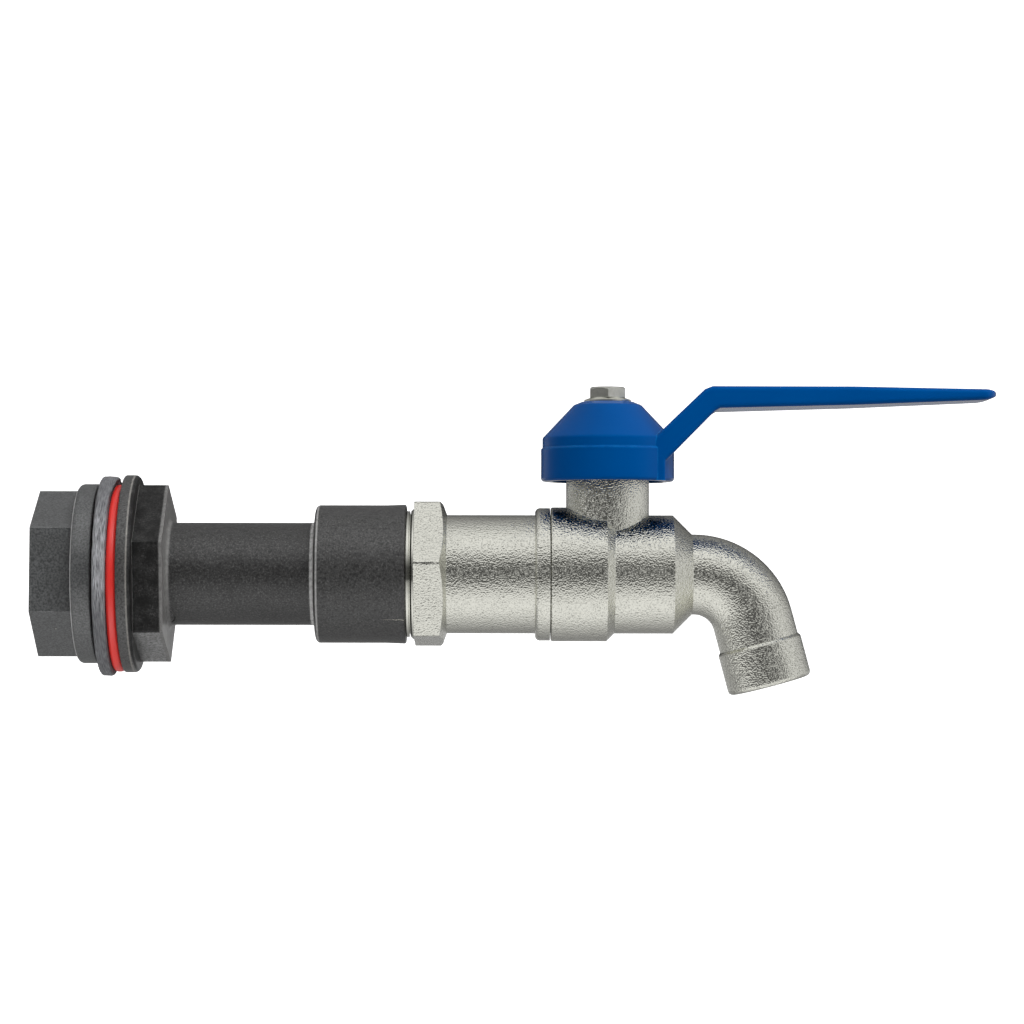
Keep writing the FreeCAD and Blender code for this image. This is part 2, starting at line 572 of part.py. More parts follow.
def make_tank_connector():
    body = new_body("tank_connector")
    turned(body, (
        ("-spigot_length", "0"),
        ("-spigot_length", "thread_dia / 2 - spigot_chamfer"),
        ("spigot_chamfer - spigot_length", "thread_dia / 2"),
        ("0", "thread_dia / 2"),
        ("0", "flange_dia / 2"),
        ("flange_thick", "flange_dia / 2"),
        ("flange_thick", "tube_dia / 2"),
        ("tube_end_x", "tube_dia / 2"),
        ("tube_end_x + shoulder_length", "socket_dia / 2"),
        ("connector_length - socket_flare_length", "socket_dia / 2"),
        ("connector_length", "(socket_dia + socket_flare) / 2"),
        ("connector_length", "0"),
    ))
    rim = value("flange_dia") / 2
    shoulder_x = value("connector_length") - value("socket_length")
    mouth = (value("socket_dia") + value("socket_flare")) / 2
    round_over(body, ring_edges(body, ALONG, (rim, value("flange_thick"))), "flange_round")
    round_over(body, ring_edges(body, ALONG, (rim, 0), (mouth, value("connector_length"))), "edge_round")
    round_over(body, ring_edges(body, ALONG, (value("socket_dia") / 2, shoulder_x)), "shoulder_round")
    foot = (value("tube_dia") / 2, shoulder_x - value("shoulder_length"))
    round_over(body, ring_edges(body, ALONG, foot), "edge_round")
    hexagon(body, "YZ_Plane", "connector_hex_across", "connector_hex_length",
            "flange_thick", "connector_hex_angle")
    round_over(body, hex_edges(body, "connector_hex_across"), "connector_hex_round")
    hex_end = value("flange_thick") + value("connector_hex_length")
    round_over(body, ring_edges(body, ALONG, (value("tube_dia") / 2, hex_end)), "tube_root_round")
    turned(body, (
        ("-spigot_length - overrun", "0"),
        ("-spigot_length - overrun", "spigot_bore / 2"),
        ("0", "spigot_bore / 2"),
        ("0", "tube_bore / 2"),
        ("connector_length - socket_depth", "tube_bore / 2"),
        ("connector_length - socket_depth", "thread_dia / 2 + thread_gap"),
        ("connector_length + overrun", "thread_dia / 2 + thread_gap"),
        ("connector_length + overrun", "0"),
    ), cut=True)
    return body


def make_inlet_adapter():
    body = new_body("inlet_adapter", "adapter_x")
    turned(body, (
        ("-adapter_thread_length", "0"),
        ("-adapter_thread_length", "thread_dia / 2 - spigot_chamfer"),
        ("spigot_chamfer - adapter_thread_length", "thread_dia / 2"),
        ("0", "thread_dia / 2"),
        ("0", "ring_one_dia / 2"),
        ("ring_one_width", "ring_one_dia / 2"),
        ("ring_one_width", "ring_groove_dia / 2"),
        ("ring_two_x", "ring_groove_dia / 2"),
        ("ring_two_x", "ring_two_dia / 2 - ring_two_bevel"),
        ("ring_two_x + ring_two_bevel", "ring_two_dia / 2"),
        ("adapter_hex_x", "ring_two_dia / 2"),
        ("adapter_hex_x", "barrel_dia / 2"),
        ("collar_x", "barrel_dia / 2"),
        ("collar_x", "collar_dia / 2"),
        ("adapter_length", "collar_dia / 2"),
        ("adapter_length", "adapter_spigot_dia / 2"),
        ("spigot_end_x", "adapter_spigot_dia / 2"),
        ("spigot_end_x", "0"),
    ))
    collar = value("collar_dia") / 2
    collar_x = value("collar_x")
    round_over(body, ring_edges(body, ALONG, (collar, collar_x)), "collar_round")
    hexagon(body, "YZ_Plane", "adapter_hex_across", "adapter_hex_length",
            "adapter_hex_x", "adapter_hex_angle")
    round_over(body, hex_edges(body, "adapter_hex_across"), "adapter_hex_round")
    corner = "adapter_hex_across / 2 / cos(30)"
    turned(body, (
        ("adapter_barrel_x", "barrel_dia / 2"),
        ("adapter_barrel_x + overrun", "barrel_dia / 2"),
        ("adapter_barrel_x + overrun", corner + " + overrun"),
        ("adapter_barrel_x - adapter_hex_slope", corner + " + overrun"),
        ("adapter_barrel_x - adapter_hex_slope", corner),
    ), cut=True)
    turned(body, (
        ("-adapter_thread_length - overrun", "0"),
        ("-adapter_thread_length - overrun", "waterway_dia / 2"),
        ("stem_x - adapter_x - seat_far", "waterway_dia / 2"),
        ("stem_x - adapter_x - seat_far", "seat_dia / 2 + fit_gap"),
        ("spigot_end_x + overrun", "seat_dia / 2 + fit_gap"),
        ("spigot_end_x + overrun", "0"),
    ), cut=True)
    return body


def make_ring(name, wire, middle, along, up, axis):
    """A round-section ring about the pipe or the stem."""
    ring = doc.addObject("Part::Torus", name)
    ring.Label = name
    ring.Placement.Rotation = FreeCAD.Rotation(UP, axis)
    ring.setExpression("Radius1", bound(middle + " / 2"))
    ring.setExpression("Radius2", bound(wire + " / 2"))
    ring.setExpression("Placement.Base.x", bound(along))
    ring.setExpression("Placement.Base.z", bound(up))
    doc.recompute()
    return ring


def make_tap_body():
    body = new_body("tap_body", "stem_x")
    turned(body, (
        ("-chamber_reach", "0"),
        ("-chamber_reach", "chamber_dia / 2"),
        ("chamber_length - chamber_reach", "chamber_dia / 2"),
        ("chamber_length - chamber_reach + chamber_slope", "barrel_dia / 2"),
        ("outlet_reach", "barrel_dia / 2"),
        ("outlet_reach + cone_length", "spout_dia / 2"),
        ("bend_x", "spout_dia / 2"),
        ("bend_x", "0"),
    ))
    rim = (value("chamber_dia") / 2, -value("chamber_reach"))
    round_over(body, ring_edges(body, ALONG, rim), "edge_round")
    turned(body, (
        ("0", "chamber_bore / 4"),
        ("neck_dia / 2", "chamber_bore / 4"),
        ("neck_dia / 2", "neck_top"),
        ("0", "neck_top"),
    ), "V_Axis")
    lug = outline(body, "XZ_Plane", (
        ("neck_dia / 2 - overrun", "stop_low"),
        ("stop_lug_dia / 2", "stop_low"),
        ("stop_lug_dia / 2", "stop_lug_top"),
        ("neck_dia / 2 - overrun", "stop_lug_top"),
    ), axis=FreeCAD.Vector(0, 1, 0), angle="stop_angle")
    spin(body, lug, "V_Axis", sweep="stop_lug_sweep", middle=True)
    at_bend = {"shift": ("0", "0", "bend_x")}
    spin(body, disc(body, "YZ_Plane", "spout_dia", axle="-bend_radius", **at_bend), "Axis0",
         sweep="bend_turn")
    on_leg = {"shift": ("leg_x", "leg_z", "0"), "angle": "-bend_turn"}
    turned(body, (
        ("0", "0"),
        ("0", "spout_dia / 2"),
        ("spout_leg", "spout_dia / 2"),
        ("spout_leg", "nose_dia / 2"),
        ("spout_leg + nose_length", "nose_dia / 2"),
        ("spout_leg + nose_length", "0"),
    ), **on_leg)
    nose = value("nose_dia") / 2
    ends = []
    for number, edge in enumerate(body.Tip.Shape.Edges, start=1):
        if isinstance(edge.Curve, Part.Circle) and abs(edge.Curve.Radius - nose) < SLACK:
            ends.append((edge.Curve.Center.z, "Edge%d" % number))
    round_over(body, [min(ends)[1]], "nose_round")
    turned(body, (
        ("-chamber_reach - overrun", "0"),
        ("-chamber_reach - overrun", "(seal_mid_dia + seal_wire) / 2 + fit_gap"),
        ("seal_wire + 2 * fit_gap - chamber_reach", "(seal_mid_dia + seal_wire) / 2 + fit_gap"),
        ("seal_wire + 2 * fit_gap - chamber_reach", "adapter_spigot_dia / 2 + fit_gap"),
        ("-joint_step", "adapter_spigot_dia / 2 + fit_gap"),
        ("-joint_step", "chamber_bore / 2"),
        ("seat_near - seat_proud", "chamber_bore / 2"),
        ("seat_near - seat_proud", "seat_dia / 2 + fit_gap"),
        ("seat_far", "seat_dia / 2 + fit_gap"),
        ("seat_far", "waterway_dia / 2"),
        ("outlet_reach", "waterway_dia / 2"),
        ("outlet_reach + cone_length", "spout_bore / 2"),
        ("bend_x", "spout_bore / 2"),
        ("bend_x", "0"),
    ), cut=True)
    spin(body, disc(body, "YZ_Plane", "spout_bore", axle="-bend_radius", **at_bend), "Axis0",
         cut=True, sweep="bend_turn")
    turned(body, (
        ("0", "0"),
        ("0", "spout_bore / 2"),
        ("spout_leg + nose_length + overrun", "spout_bore / 2"),
        ("spout_leg + nose_length + overrun", "0"),
    ), cut=True, **on_leg)
    turned(body, (
        ("0", "0"),
        ("stem_shoulder_dia / 2 + run_gap", "0"),
        ("stem_shoulder_dia / 2 + run_gap", "thrust_top"),
        ("shaft_dia / 2 + run_gap", "thrust_top"),
        ("shaft_dia / 2 + run_gap", "packing_low"),
        ("packing_dia / 2 + fit_gap", "packing_low"),
        ("packing_dia / 2 + fit_gap", "neck_top + overrun"),
        ("0", "neck_top + overrun"),
    ), "V_Axis", cut=True)
    return body


def make_ball():
    body = new_body("ball", "stem_x")
    ball = body.newObject("PartDesign::AdditiveSphere", "ball_sphere")
    ball.setExpression("Radius", bound("ball_dia / 2"))
    doc.recompute()
    drilled(body, "waterway_dia", "-ball_dia", "ball_dia")
    block(body, "slot_width", "ball_dia + 2 * overrun", "slot_floor", "ball_dia", cut=True)
    return body


def make_seat(name, side):
    body = new_body(name, "stem_x")
    turned(body, (
        (side + "seat_near", "waterway_dia / 2"),
        (side + "seat_near", "seat_dia / 2"),
        (side + "seat_far", "seat_dia / 2"),
        (side + "seat_far", "waterway_dia / 2"),
    ))
    hollow = body.newObject("PartDesign::SubtractiveSphere", name + "_dish")
    hollow.setExpression("Radius", bound("ball_dia / 2 + ball_gap"))
    doc.recompute()
    return body


def make_stem():
    body = new_body("stem", "stem_x")
    turned(body, (
        ("0", "stem_shoulder_low"),
        ("stem_shoulder_dia / 2", "stem_shoulder_low"),
        ("stem_shoulder_dia / 2", "stem_shoulder_top"),
        ("shaft_dia / 2", "stem_shoulder_top"),
        ("shaft_dia / 2", "stem_groove_low"),
        ("stem_groove_dia / 2", "stem_groove_low"),
        ("stem_groove_dia / 2", "stem_groove_top"),
        ("shaft_dia / 2", "stem_groove_top"),
        ("shaft_dia / 2", "shaft_top"),
        ("0", "shaft_top"),
    ), "V_Axis")
    block(body, "tang_thick", "tang_width", "tang_foot", "stem_shoulder_low")
    block(body, "stem_square", "stem_square", "shaft_top", "stem_top")
    drilled(body, "screw_dia + 2 * fit_gap", "screw_hole_low", "stem_top + overrun", "V_Axis")
    return body


def make_upright_ring(name, hole, outside, low, high):
    body = new_body(name, "stem_x")
    turned(body, (
        (hole + " / 2", low),
        (outside + " / 2", low),
        (outside + " / 2", high),
        (hole + " / 2", high),
    ), "V_Axis")
    return body


def make_gland_nut():
    body = new_body("gland_nut", "stem_x")
    turned(body, (
        ("0", "gland_foot"),
        ("packing_dia / 2", "gland_foot"),
        ("packing_dia / 2", "gland_hex_low"),
        ("0", "gland_hex_low"),
    ), "V_Axis")
    hexagon(body, "XY_Plane", "gland_hex_across", "gland_hex_height", "gland_hex_low", "0")
    drilled(body, "shaft_dia + 2 * run_gap", "gland_foot - overrun", "gland_top + overrun", "V_Axis")
    return body


def stop_rib(body, angle):
    """One of the two ribs inside the bell that meet the lug on the neck."""
    rib = outline(body, "XZ_Plane", (
        ("stop_rib_dia / 2", "stop_low"),
        ("(hollow_dia + bell_wall) / 2", "stop_low"),
        ("(hollow_dia + bell_wall) / 2", "stop_rib_top"),
        ("stop_rib_dia / 2", "stop_rib_top"),
    ), axis=FreeCAD.Vector(0, 1, 0), angle=angle)
    spin(body, rib, "V_Axis", sweep="stop_rib_sweep", middle=True)


def lever_section(body, out, up, width, thick, corner, lean="0"):
    """A rounded cross-section of the lever, standing across it."""
    return soft_oblong(body, width, thick, corner, shift=("0", up, out), axis=ALONG, angle="-(%s)" % lean)


def loft(body, sections, ruled):
    feature = body.newObject("PartDesign::AdditiveLoft", body.Name + "_loft")
    feature.Profile = sections[0]
    feature.Sections = sections[1:]
    feature.Ruled = ruled
    for section in sections:
        section.Visibility = False
    doc.recompute()
    return feature


def make_lever_handle():
    body = new_body("lever_handle", "stem_x")
    turned(body, (
        ("0", "skirt_low"),
        ("skirt_dia / 2", "skirt_low"),
        ("skirt_dia / 2", "skirt_top - ledge"),
        ("skirt_dia / 2 - ledge", "skirt_top"),
        ("skirt_dia / 2 - ledge", "bell_ring_top"),
        ("cone_top_dia / 2", "cone_top"),
        ("crown_dia / 2", "crown_top"),
        ("0", "crown_top"),
    ), "V_Axis")
    rim = value("skirt_dia") / 2
    shoulder = (rim - value("ledge"), value("bell_ring_top"))
    crest = (value("cone_top_dia") / 2, value("cone_top"))
    round_over(body, ring_edges(body, UP, (rim, value("skirt_low"))), "bell_rim_round")
    round_over(body, ring_edges(body, UP, shoulder, crest), "bell_edge_round")
    cheeks = outline(body, "XY_Plane", (
        ("0", "-arm_width / 2"),
        ("cheek_reach", "-arm_width / 2"),
        ("cheek_reach", "arm_width / 2"),
        ("0", "arm_width / 2"),
    ), shift=("0", "0", "skirt_low"))
    pad = body.newObject("PartDesign::Pad", "lever_handle_cheeks")
    pad.Profile = cheeks
    pad.setExpression("Length", bound("cheek_height"))
    cheeks.Visibility = False
    doc.recompute()
    corner_radius = math.hypot(value("cheek_reach"), value("arm_width") / 2)
    corners = []
    for number, edge in enumerate(body.Tip.Shape.Edges, start=1):
        middle = edge.CenterOfMass
        if abs(math.hypot(middle.x, middle.y) - corner_radius) < SLACK:
            corners.append("Edge%d" % number)
    round_over(body, corners, "cheek_round")
    root = lever_section(body, "arm_root_out", "arm_root_up", "arm_width", "arm_root_thick",
                         "lever_round", "arm_root_lean")
    ease = lever_section(body, "ease_out", "ease_up", "bend_width", "bend_thick + bend_swell",
                         "lever_round", "bend_lean + bend_tilt")
    bend = lever_section(body, "bend_out", "bend_up", "bend_width", "bend_thick", "lever_round", "bend_lean")
    waist = lever_section(body, "waist_out", "waist_up", "waist_width", "waist_thick", "lever_round")
    grip = lever_section(body, "grip_out", "grip_up", "grip_width", "grip_thick", "lever_round")
    loft(body, [root, ease, bend, waist, grip], True)
    start = lever_section(body, "grip_out", "grip_up", "grip_width", "grip_thick", "lever_round")
    tip = [start]
    for far, wide, thick in TIP_STAGES:
        height = "grip_up + tip_rise * " + far
        tip.append(lever_section(body, "grip_out + tip_length * " + far, height, "grip_width * " + wide,
                                 "grip_thick * " + thick, "lever_round * " + thick))
    loft(body, tip, False)
    turned(body, (
        ("0", "skirt_low - overrun"),
        ("hollow_dia / 2", "skirt_low - overrun"),
        ("hollow_dia / 2", "bell_hollow_shoulder"),
        ("bell_roof_dia / 2", "bell_roof"),
        ("hub_dia / 2", "bell_roof"),
        ("hub_dia / 2", "hub_low"),
        ("0", "hub_low"),
    ), "V_Axis", cut=True)
    stop_rib(body, "stop_angle - stop_lug_sweep / 2 - stop_gap - stop_rib_sweep / 2")
    stop_rib(body, "stop_angle + stop_lug_sweep / 2 + lever_turn + stop_gap + stop_rib_sweep / 2")
    block(body, "socket_square", "socket_square", "hub_low - overrun", "socket_roof", cut=True)
    drilled(body, "screw_dia + 2 * screw_hole_gap", "hub_low", "crown_top + overrun", "V_Axis")
    return body


def make_handle_screw():
    body = new_body("handle_screw", "stem_x")
    turned(body, (
        ("0", "screw_foot"),
        ("screw_dia / 2", "screw_foot"),
        ("screw_dia / 2", "crown_top"),
        ("screw_flange_dia / 2", "crown_top"),
        ("screw_flange_dia / 2", "crown_top + screw_flange_thick / 2"),
        ("screw_hex_across / 2", "screw_hex_low"),
        ("0", "screw_hex_low"),
    ), "V_Axis")
    hexagon(body, "XY_Plane", "screw_hex_across", "screw_hex_height", "screw_hex_low", "screw_hex_angle")
    corner = "screw_hex_across / 2 / cos(30)"
    turned(body, (
        ("screw_hex_across / 2 - screw_hex_slope / 2", "screw_top"),
        (corner, "screw_top - screw_hex_slope"),
        (corner + " + overrun", "screw_top - screw_hex_slope"),
        (corner + " + overrun", "screw_top"),
    ), "V_Axis", cut=True)
    return body


def check(pieces):
    """Stop unless every object of the document is sound and every piece is one valid solid."""
    for item in doc.Objects:
        if FAULTS.intersection(item.State):
            raise RuntimeError("%s: %s" % (item.Label, item.State))
    for piece in pieces:
        shape = piece.Shape
        if shape.isNull() or not shape.isValid() or len(shape.Solids) != 1:
            raise RuntimeError("%s is not one sound solid" % piece.Label)


doc = FreeCAD.newDocument("WaterButtTap")
fill_sheets()
pieces = [
    make_backnut(),
    make_washer("rubber_washer", "-red_thick", "rubber_dia", "rubber_hole", "rubber_thick", "rubber_round"),
    make_washer("red_washer", "0", "red_dia", "red_hole", "red_thick", "edge_round"),
    make_tank_connector(),
    make_inlet_adapter(),
    make_ring("body_seal_ring", "seal_wire", "seal_mid_dia",
              "stem_x - chamber_reach + seal_wire / 2 + fit_gap", "0", ALONG),
    make_tap_body(),
    make_ball(),
    make_seat("inlet_seat", "-"),
    make_seat("outlet_seat", ""),
    make_stem(),
    make_upright_ring("thrust_washer", "(shaft_dia + 2 * run_gap)", "(stem_shoulder_dia + 2 * fit_gap)",
                      "thrust_low", "thrust_top"),
    make_ring("stem_o_ring", "o_ring_wire", "o_ring_mid_dia", "stem_x",
              "(stem_groove_low + stem_groove_top) / 2", UP),
    make_upright_ring("stem_packing", "(shaft_dia + 2 * run_gap)", "packing_dia",
                      "packing_low", "packing_top"),
    make_gland_nut(),
    make_lever_handle(),
    make_handle_screw(),
]
doc.recompute()
check(pieces)
os.makedirs("parts", exist_ok=True)
for piece in pieces:
    piece.Shape.exportStep("parts/%s.step" % piece.Label)
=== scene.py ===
import json
import math

import bmesh
import bpy
from mathutils import Euler, Matrix, Vector, noise


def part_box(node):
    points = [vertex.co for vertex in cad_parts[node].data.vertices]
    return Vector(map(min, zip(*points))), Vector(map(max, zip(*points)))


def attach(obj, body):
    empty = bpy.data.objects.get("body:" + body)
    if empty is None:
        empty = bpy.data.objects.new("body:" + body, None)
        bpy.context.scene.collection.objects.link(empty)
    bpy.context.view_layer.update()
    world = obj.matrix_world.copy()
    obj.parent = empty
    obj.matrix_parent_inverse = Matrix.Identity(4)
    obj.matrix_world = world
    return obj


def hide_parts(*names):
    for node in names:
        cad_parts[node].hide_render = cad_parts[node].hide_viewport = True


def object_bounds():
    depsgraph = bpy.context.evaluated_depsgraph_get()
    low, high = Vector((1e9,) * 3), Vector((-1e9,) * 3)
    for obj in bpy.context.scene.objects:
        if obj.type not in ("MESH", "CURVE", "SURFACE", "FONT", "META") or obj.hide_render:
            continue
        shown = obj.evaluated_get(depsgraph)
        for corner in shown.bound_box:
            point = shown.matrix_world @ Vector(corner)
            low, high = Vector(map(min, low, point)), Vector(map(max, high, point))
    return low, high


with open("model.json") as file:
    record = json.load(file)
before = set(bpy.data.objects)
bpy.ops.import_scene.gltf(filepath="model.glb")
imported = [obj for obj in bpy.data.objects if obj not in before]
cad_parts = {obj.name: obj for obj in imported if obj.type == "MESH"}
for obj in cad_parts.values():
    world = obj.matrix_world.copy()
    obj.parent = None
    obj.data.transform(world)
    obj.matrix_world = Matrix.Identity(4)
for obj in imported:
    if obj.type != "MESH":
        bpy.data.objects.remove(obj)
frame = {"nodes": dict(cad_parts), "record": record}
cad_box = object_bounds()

# Water butt tap: looks, studio and camera. Metres, +Z up, X along the pipe towards the spout.

MM = 0.001
MIDDLE = (Vector(cad_box[0]) + Vector(cad_box[1])) / 2

# The photograph: a square of this many pixels, with the frame's origin at this pixel,
# this many pixels to a metre in the upright plane through the pipe, and the eye on this row.
PHOTO_SIDE = 1024
PHOTO_ORIGIN = (126.1, 574.3)
PHOTO_SCALE = 4880
PHOTO_HORIZON = 598
PHOTO_ROLL = math.radians(0.09)
CAMERA_DISTANCE = 0.695
CAMERA_NEAR = 0.01
SENSOR_MM = 36

# Stage: a floor that curves up into a wall, a tent for reflections and a surround for the camera.
FLOOR_BELOW = 0.45
STAGE_WIDTH = 5.0
STAGE_FRONT = -2.5
COVE_START = 0.9
COVE_RADIUS = 0.5
COVE_STEPS = 16
WALL_TOP = 2.0
TENT_RADIUS = 1.6
SURROUND_RADIUS = 3.5
SPHERE_SEGMENTS = 48
SPHERE_RINGS = 24
STAGE_CENTRE = (MIDDLE.x, 0, 0)

# Lamps: name, place, point aimed at, width and height, watts.
LAMPS = (
    ("key", (MIDDLE.x + 0.25, -0.5, 0.8), MIDDLE, (1.0, 0.5), 12.2),
    ("under", (-0.05, -0.13, -0.2), (0, 0, 0), (0.3, 0.15), 0.5),
    ("back", (MIDDLE.x - 0.3, 0.65, 0.16), MIDDLE, (0.6, 0.5), 6.0),
    ("side", (MIDDLE.x + 0.7, -0.25, 0.1), MIDDLE, (0.4, 0.4), 2.5),
)

# Soft light from all round: its strength below and above, and how far from level it changes.
WORLD_BELOW = 0.16
WORLD_ABOVE = 0.38
WORLD_SOFT = 0.3

# Light that the tent throws back, by the angle from straight ahead of the object (0 degrees) to behind it
# (180): over the object, under it, and round its left and its right side.
TENT_OVER = (
    (0, 0.07), (12, 0.09), (22, 0.25), (32, 0.5), (42, 0.78), (56, 0.99), (76, 0.95),
    (92, 0.7), (106, 0.55), (120, 0.4), (138, 0.24), (152, 0.2), (162, 0.15), (169, 0.05), (180, 0.04),
)
TENT_UNDER = (
    (0, 0.07), (10, 0.09), (15, 0.4), (24, 0.6), (40, 0.82), (56, 1.0), (76, 0.98),
    (92, 0.73), (106, 0.58), (120, 0.42), (138, 0.28), (160, 0.28), (170, 0.5), (180, 0.56),
)
TENT_LEFT = (
    (0, 0.05), (40, 0.1), (56, 0.12), (70, 0.15), (84, 0.2),
    (100, 0.27), (118, 0.36), (144, 0.6), (180, 0.6),
)
TENT_RIGHT = (
    (0, 0.3), (44, 0.42), (56, 0.52), (70, 0.64), (84, 0.72),
    (100, 0.74), (118, 0.6), (144, 0.55), (180, 0.6),
)
TENT_SIDES_FROM = 0.35
TENT_SIDES_FULL = 0.78
TENT_SIDES_LOW = 0.1
TENT_SIDES_HIGH = 0.45

# Colours in linear light: the two that a surface clouds between, then its dust, painted shade, wear and
# painted highlights.
NUT_SHADE = (0.07, 0.072, 0.072)
NUT_TINT = (0.097, 0.1, 0.102)
NUT_PIT_SHADE = (0.028, 0.029, 0.029)
NUT_WEAR_AND_HIGHLIGHT = (0.24, 0.242, 0.245)
NUT_RIM_HIGHLIGHT = (0.6, 0.6, 0.6)
NUT_FLECK = (0.5, 0.48, 0.42)
PIPE_SHADE = (0.0185, 0.0185, 0.0182)
PIPE_TINT = (0.027, 0.0267, 0.0264)
PIPE_SPECK = (0.12, 0.119, 0.117)
PIPE_PIT_SHADE = (0.003, 0.003, 0.003)
PIPE_WEAR_AND_HIGHLIGHT = (0.24, 0.235, 0.23)
PIPE_FLECK = (0.6, 0.57, 0.5)
FLANGE_DUST = (0.048, 0.0475, 0.047)
FLANGE_LINE_HIGHLIGHT = (0.2, 0.19, 0.175)
SOCKET_DUST = (0.04, 0.0397, 0.0392)
SOCKET_CORNER_HIGHLIGHT = (0.36, 0.357, 0.352)
HEX_PAINTED_SHADE = (0.002, 0.002, 0.0019)
HEX_UNDER_LIGHT = (0.26, 0.26, 0.26)
HEX_END_HIGHLIGHT = (0.16, 0.157, 0.153)
STEP_HIGHLIGHT = (0.45, 0.447, 0.441)
FLASH_SHADE = (0.5, 0.475, 0.42)
FLASH_TINT = (0.85, 0.81, 0.7)
RUBBER_BARE = (0.055, 0.056, 0.06)
RUBBER_SHADE = (0.27, 0.273, 0.286)
RUBBER_TINT = (0.38, 0.384, 0.402)
RED_SHADE = (0.6, 0.022, 0.018)
RED_TINT = (0.7, 0.034, 0.027)
NICKEL_SHADE = (0.71, 0.708, 0.64)
NICKEL_TINT = (0.77, 0.768, 0.70)
NICKEL_PIT_SHADE = (0.24, 0.237, 0.21)
BALL_TINT = (0.75, 0.75, 0.74)
SEAL_SHADE = (0.78, 0.78, 0.75)
SEAL_TINT = (0.84, 0.84, 0.82)
BRASS_SHADE = (0.58, 0.38, 0.13)
BRASS_TINT = (0.68, 0.47, 0.19)
BLUE_SHADE = (0.0, 0.046, 0.19)
BLUE_TINT = (0.0, 0.053, 0.212)
BLUE_EDGE_HIGHLIGHT = (0.006, 0.15, 0.4)
BLUE_SHINE = (0.0, 0.35, 1.0)
ZINC_SHADE = (0.52, 0.52, 0.47)
ZINC_TINT = (0.86, 0.86, 0.8)
FLOOR_TINT = (0.9, 0.9, 0.9)
WHITE = (1.0, 1.0, 1.0)

# How much of the dust, the worn and highlighted edges, the painted shade in pits and the painted edge
# highlight shows, and the height of slow waves against that of the fine grain.
SOCKET_DUST_SHARE = 0.5
PIPE_WEAR_AND_HIGHLIGHT_SHARE = 0.75
NICKEL_PIT_SHADE_SHARE = 0.45
BLUE_EDGE_HIGHLIGHT_SHARE = 0.6
NUT_WAVES = 5.0
PIPE_WAVES = 4.0
NICKEL_SWELL = 0.3

BEVEL_SAMPLES = 6
SHARP = math.radians(32)
WELD = 1e-6

# Half-inch pipe thread, and the plain cylinders of the solids that it is cut into.
PITCH = 1.814 * MM
FLANK = math.tan(math.radians(27.5))
FLAT = 0.3 * MM
THREAD_CREST = 10.4775 * MM
THREAD_ROOT = 9.3155 * MM
THREAD_STOP = -1.2 * MM
NUT_BORE = 10.7775 * MM
NUT_ROOT = 11.7 * MM
CUT_OVERLAP = 0.1 * MM
TURN_STEPS = 72
RUN_OUT_TURNS = 0.6
RUN_OUT_LEAST = 0.02

# Painted highlight line on the rim of the backnut's flange: its stations along the pipe, and its least
# radius.
NUT_RIM = (-9.5 * MM, -9.1 * MM)
NUT_RIM_FROM = 17.5 * MM

# Connector: stations of its flange, hexagon, end of the hexagon with a painted highlight, and socket.
FLANGE = (-0.2 * MM, 2.6 * MM)
HEXAGON = (2.35 * MM, 8.4 * MM)
HEX_END = (8.4 * MM, 9.7 * MM)
SOCKET_START = 39.5 * MM
TUBE_RADIUS = 10.475 * MM
SOCKET_RADIUS = 14.08 * MM
SOCKET_FLARE_X = 53.5 * MM
SOCKET_FLARE = 0.15 / 4

# Painted highlight lines where the flange starts to round over and on the corner of the socket.
FLANGE_LINE = (2.0 * MM, 2.3 * MM)
FLANGE_LINE_FROM = 19.7 * MM
SOCKET_CORNER = (39.45 * MM, 39.8 * MM)
SOCKET_CORNER_FROM = 13.7 * MM

# Step from the tube to the socket: a flat wall at this station with a hollow round at its foot.
STEP_WALL = 39.0 * MM
STEP_HOLLOW = 0.85 * MM
STEP_CLEAR = 1.5 * MM
STEP_ARC = 8
STEP_TURNS = 192

# Arc of the gate mark round the tube beside the hexagon, turned down from the front.
GATE_X = 7.15 * MM
GATE_TURN = math.radians(58)
GATE_RADIUS = 3.4 * MM
GATE_SWEEP = math.radians(40)
GATE_GROOVE = 0.2 * MM
GATE_STEPS = 28
GATE_SIDES = 10

# Flash left by the mould on the socket, turned down from the front.
FLASH_TURN = math.radians(41)
FLASH_FROM = 51.5 * MM
FLASH_LENGTH = 5.8 * MM
FLASH_WIDTH = 0.2 * MM
FLASH_HEIGHT = 0.1 * MM
FLASH_WAVE = 0.8 * MM
FLASH_MEAN = 0.75
FLASH_SWING = 0.25
FLASH_STEPS = 24

# Rubber washer: rough skin worn inwards, dusty, with painted shade darkening it towards its top and bottom,
# and a torn lip over the red washer at the top.
RUBBER_HOLE = 11.25 * MM
RUBBER_RIM = 20.5 * MM
RUBBER_TURNS = 360
RUBBER_EDGE = 0.7 * MM
RUBBER_WEAR = 0.18 * MM
RUBBER_STREAK = 2.8 * MM
RUBBER_GRAIN = 0.42 * MM
WEAR_MEAN = 0.5
WEAR_STREAK = 0.3
WEAR_GRAIN = 0.2
WEAR_INSIDE = 0.4
RUBBER_UNSHADED_AT = 3 * MM
RUBBER_UNSHADED_FULL = 4 * MM
RUBBER_SHADED_END = 14 * MM
LIP_REACH = 1.0 * MM
LIP_HALF_TURN = math.radians(38)
LIP_FROM = 1.1 * MM
LIP_FADE = 0.7
LIP_TEAR = 2.5 * MM
TEAR_MEAN = 0.8
TEAR_SWING = 0.2

# Red washer, squeezed so that its rim bulges.
RED_HOLE = 11.7 * MM
RED_TURNS = 200
RED_BULGE = 0.75 * MM
RED_BULGE_SHARE = 0.85

# Steps on the sections of both washers, and the angle from which their edges are sharp.
EDGE_STEPS = 6
RIM_STEPS = 9
FACE_STEPS = 10
WASHER_SHARP = math.radians(75)

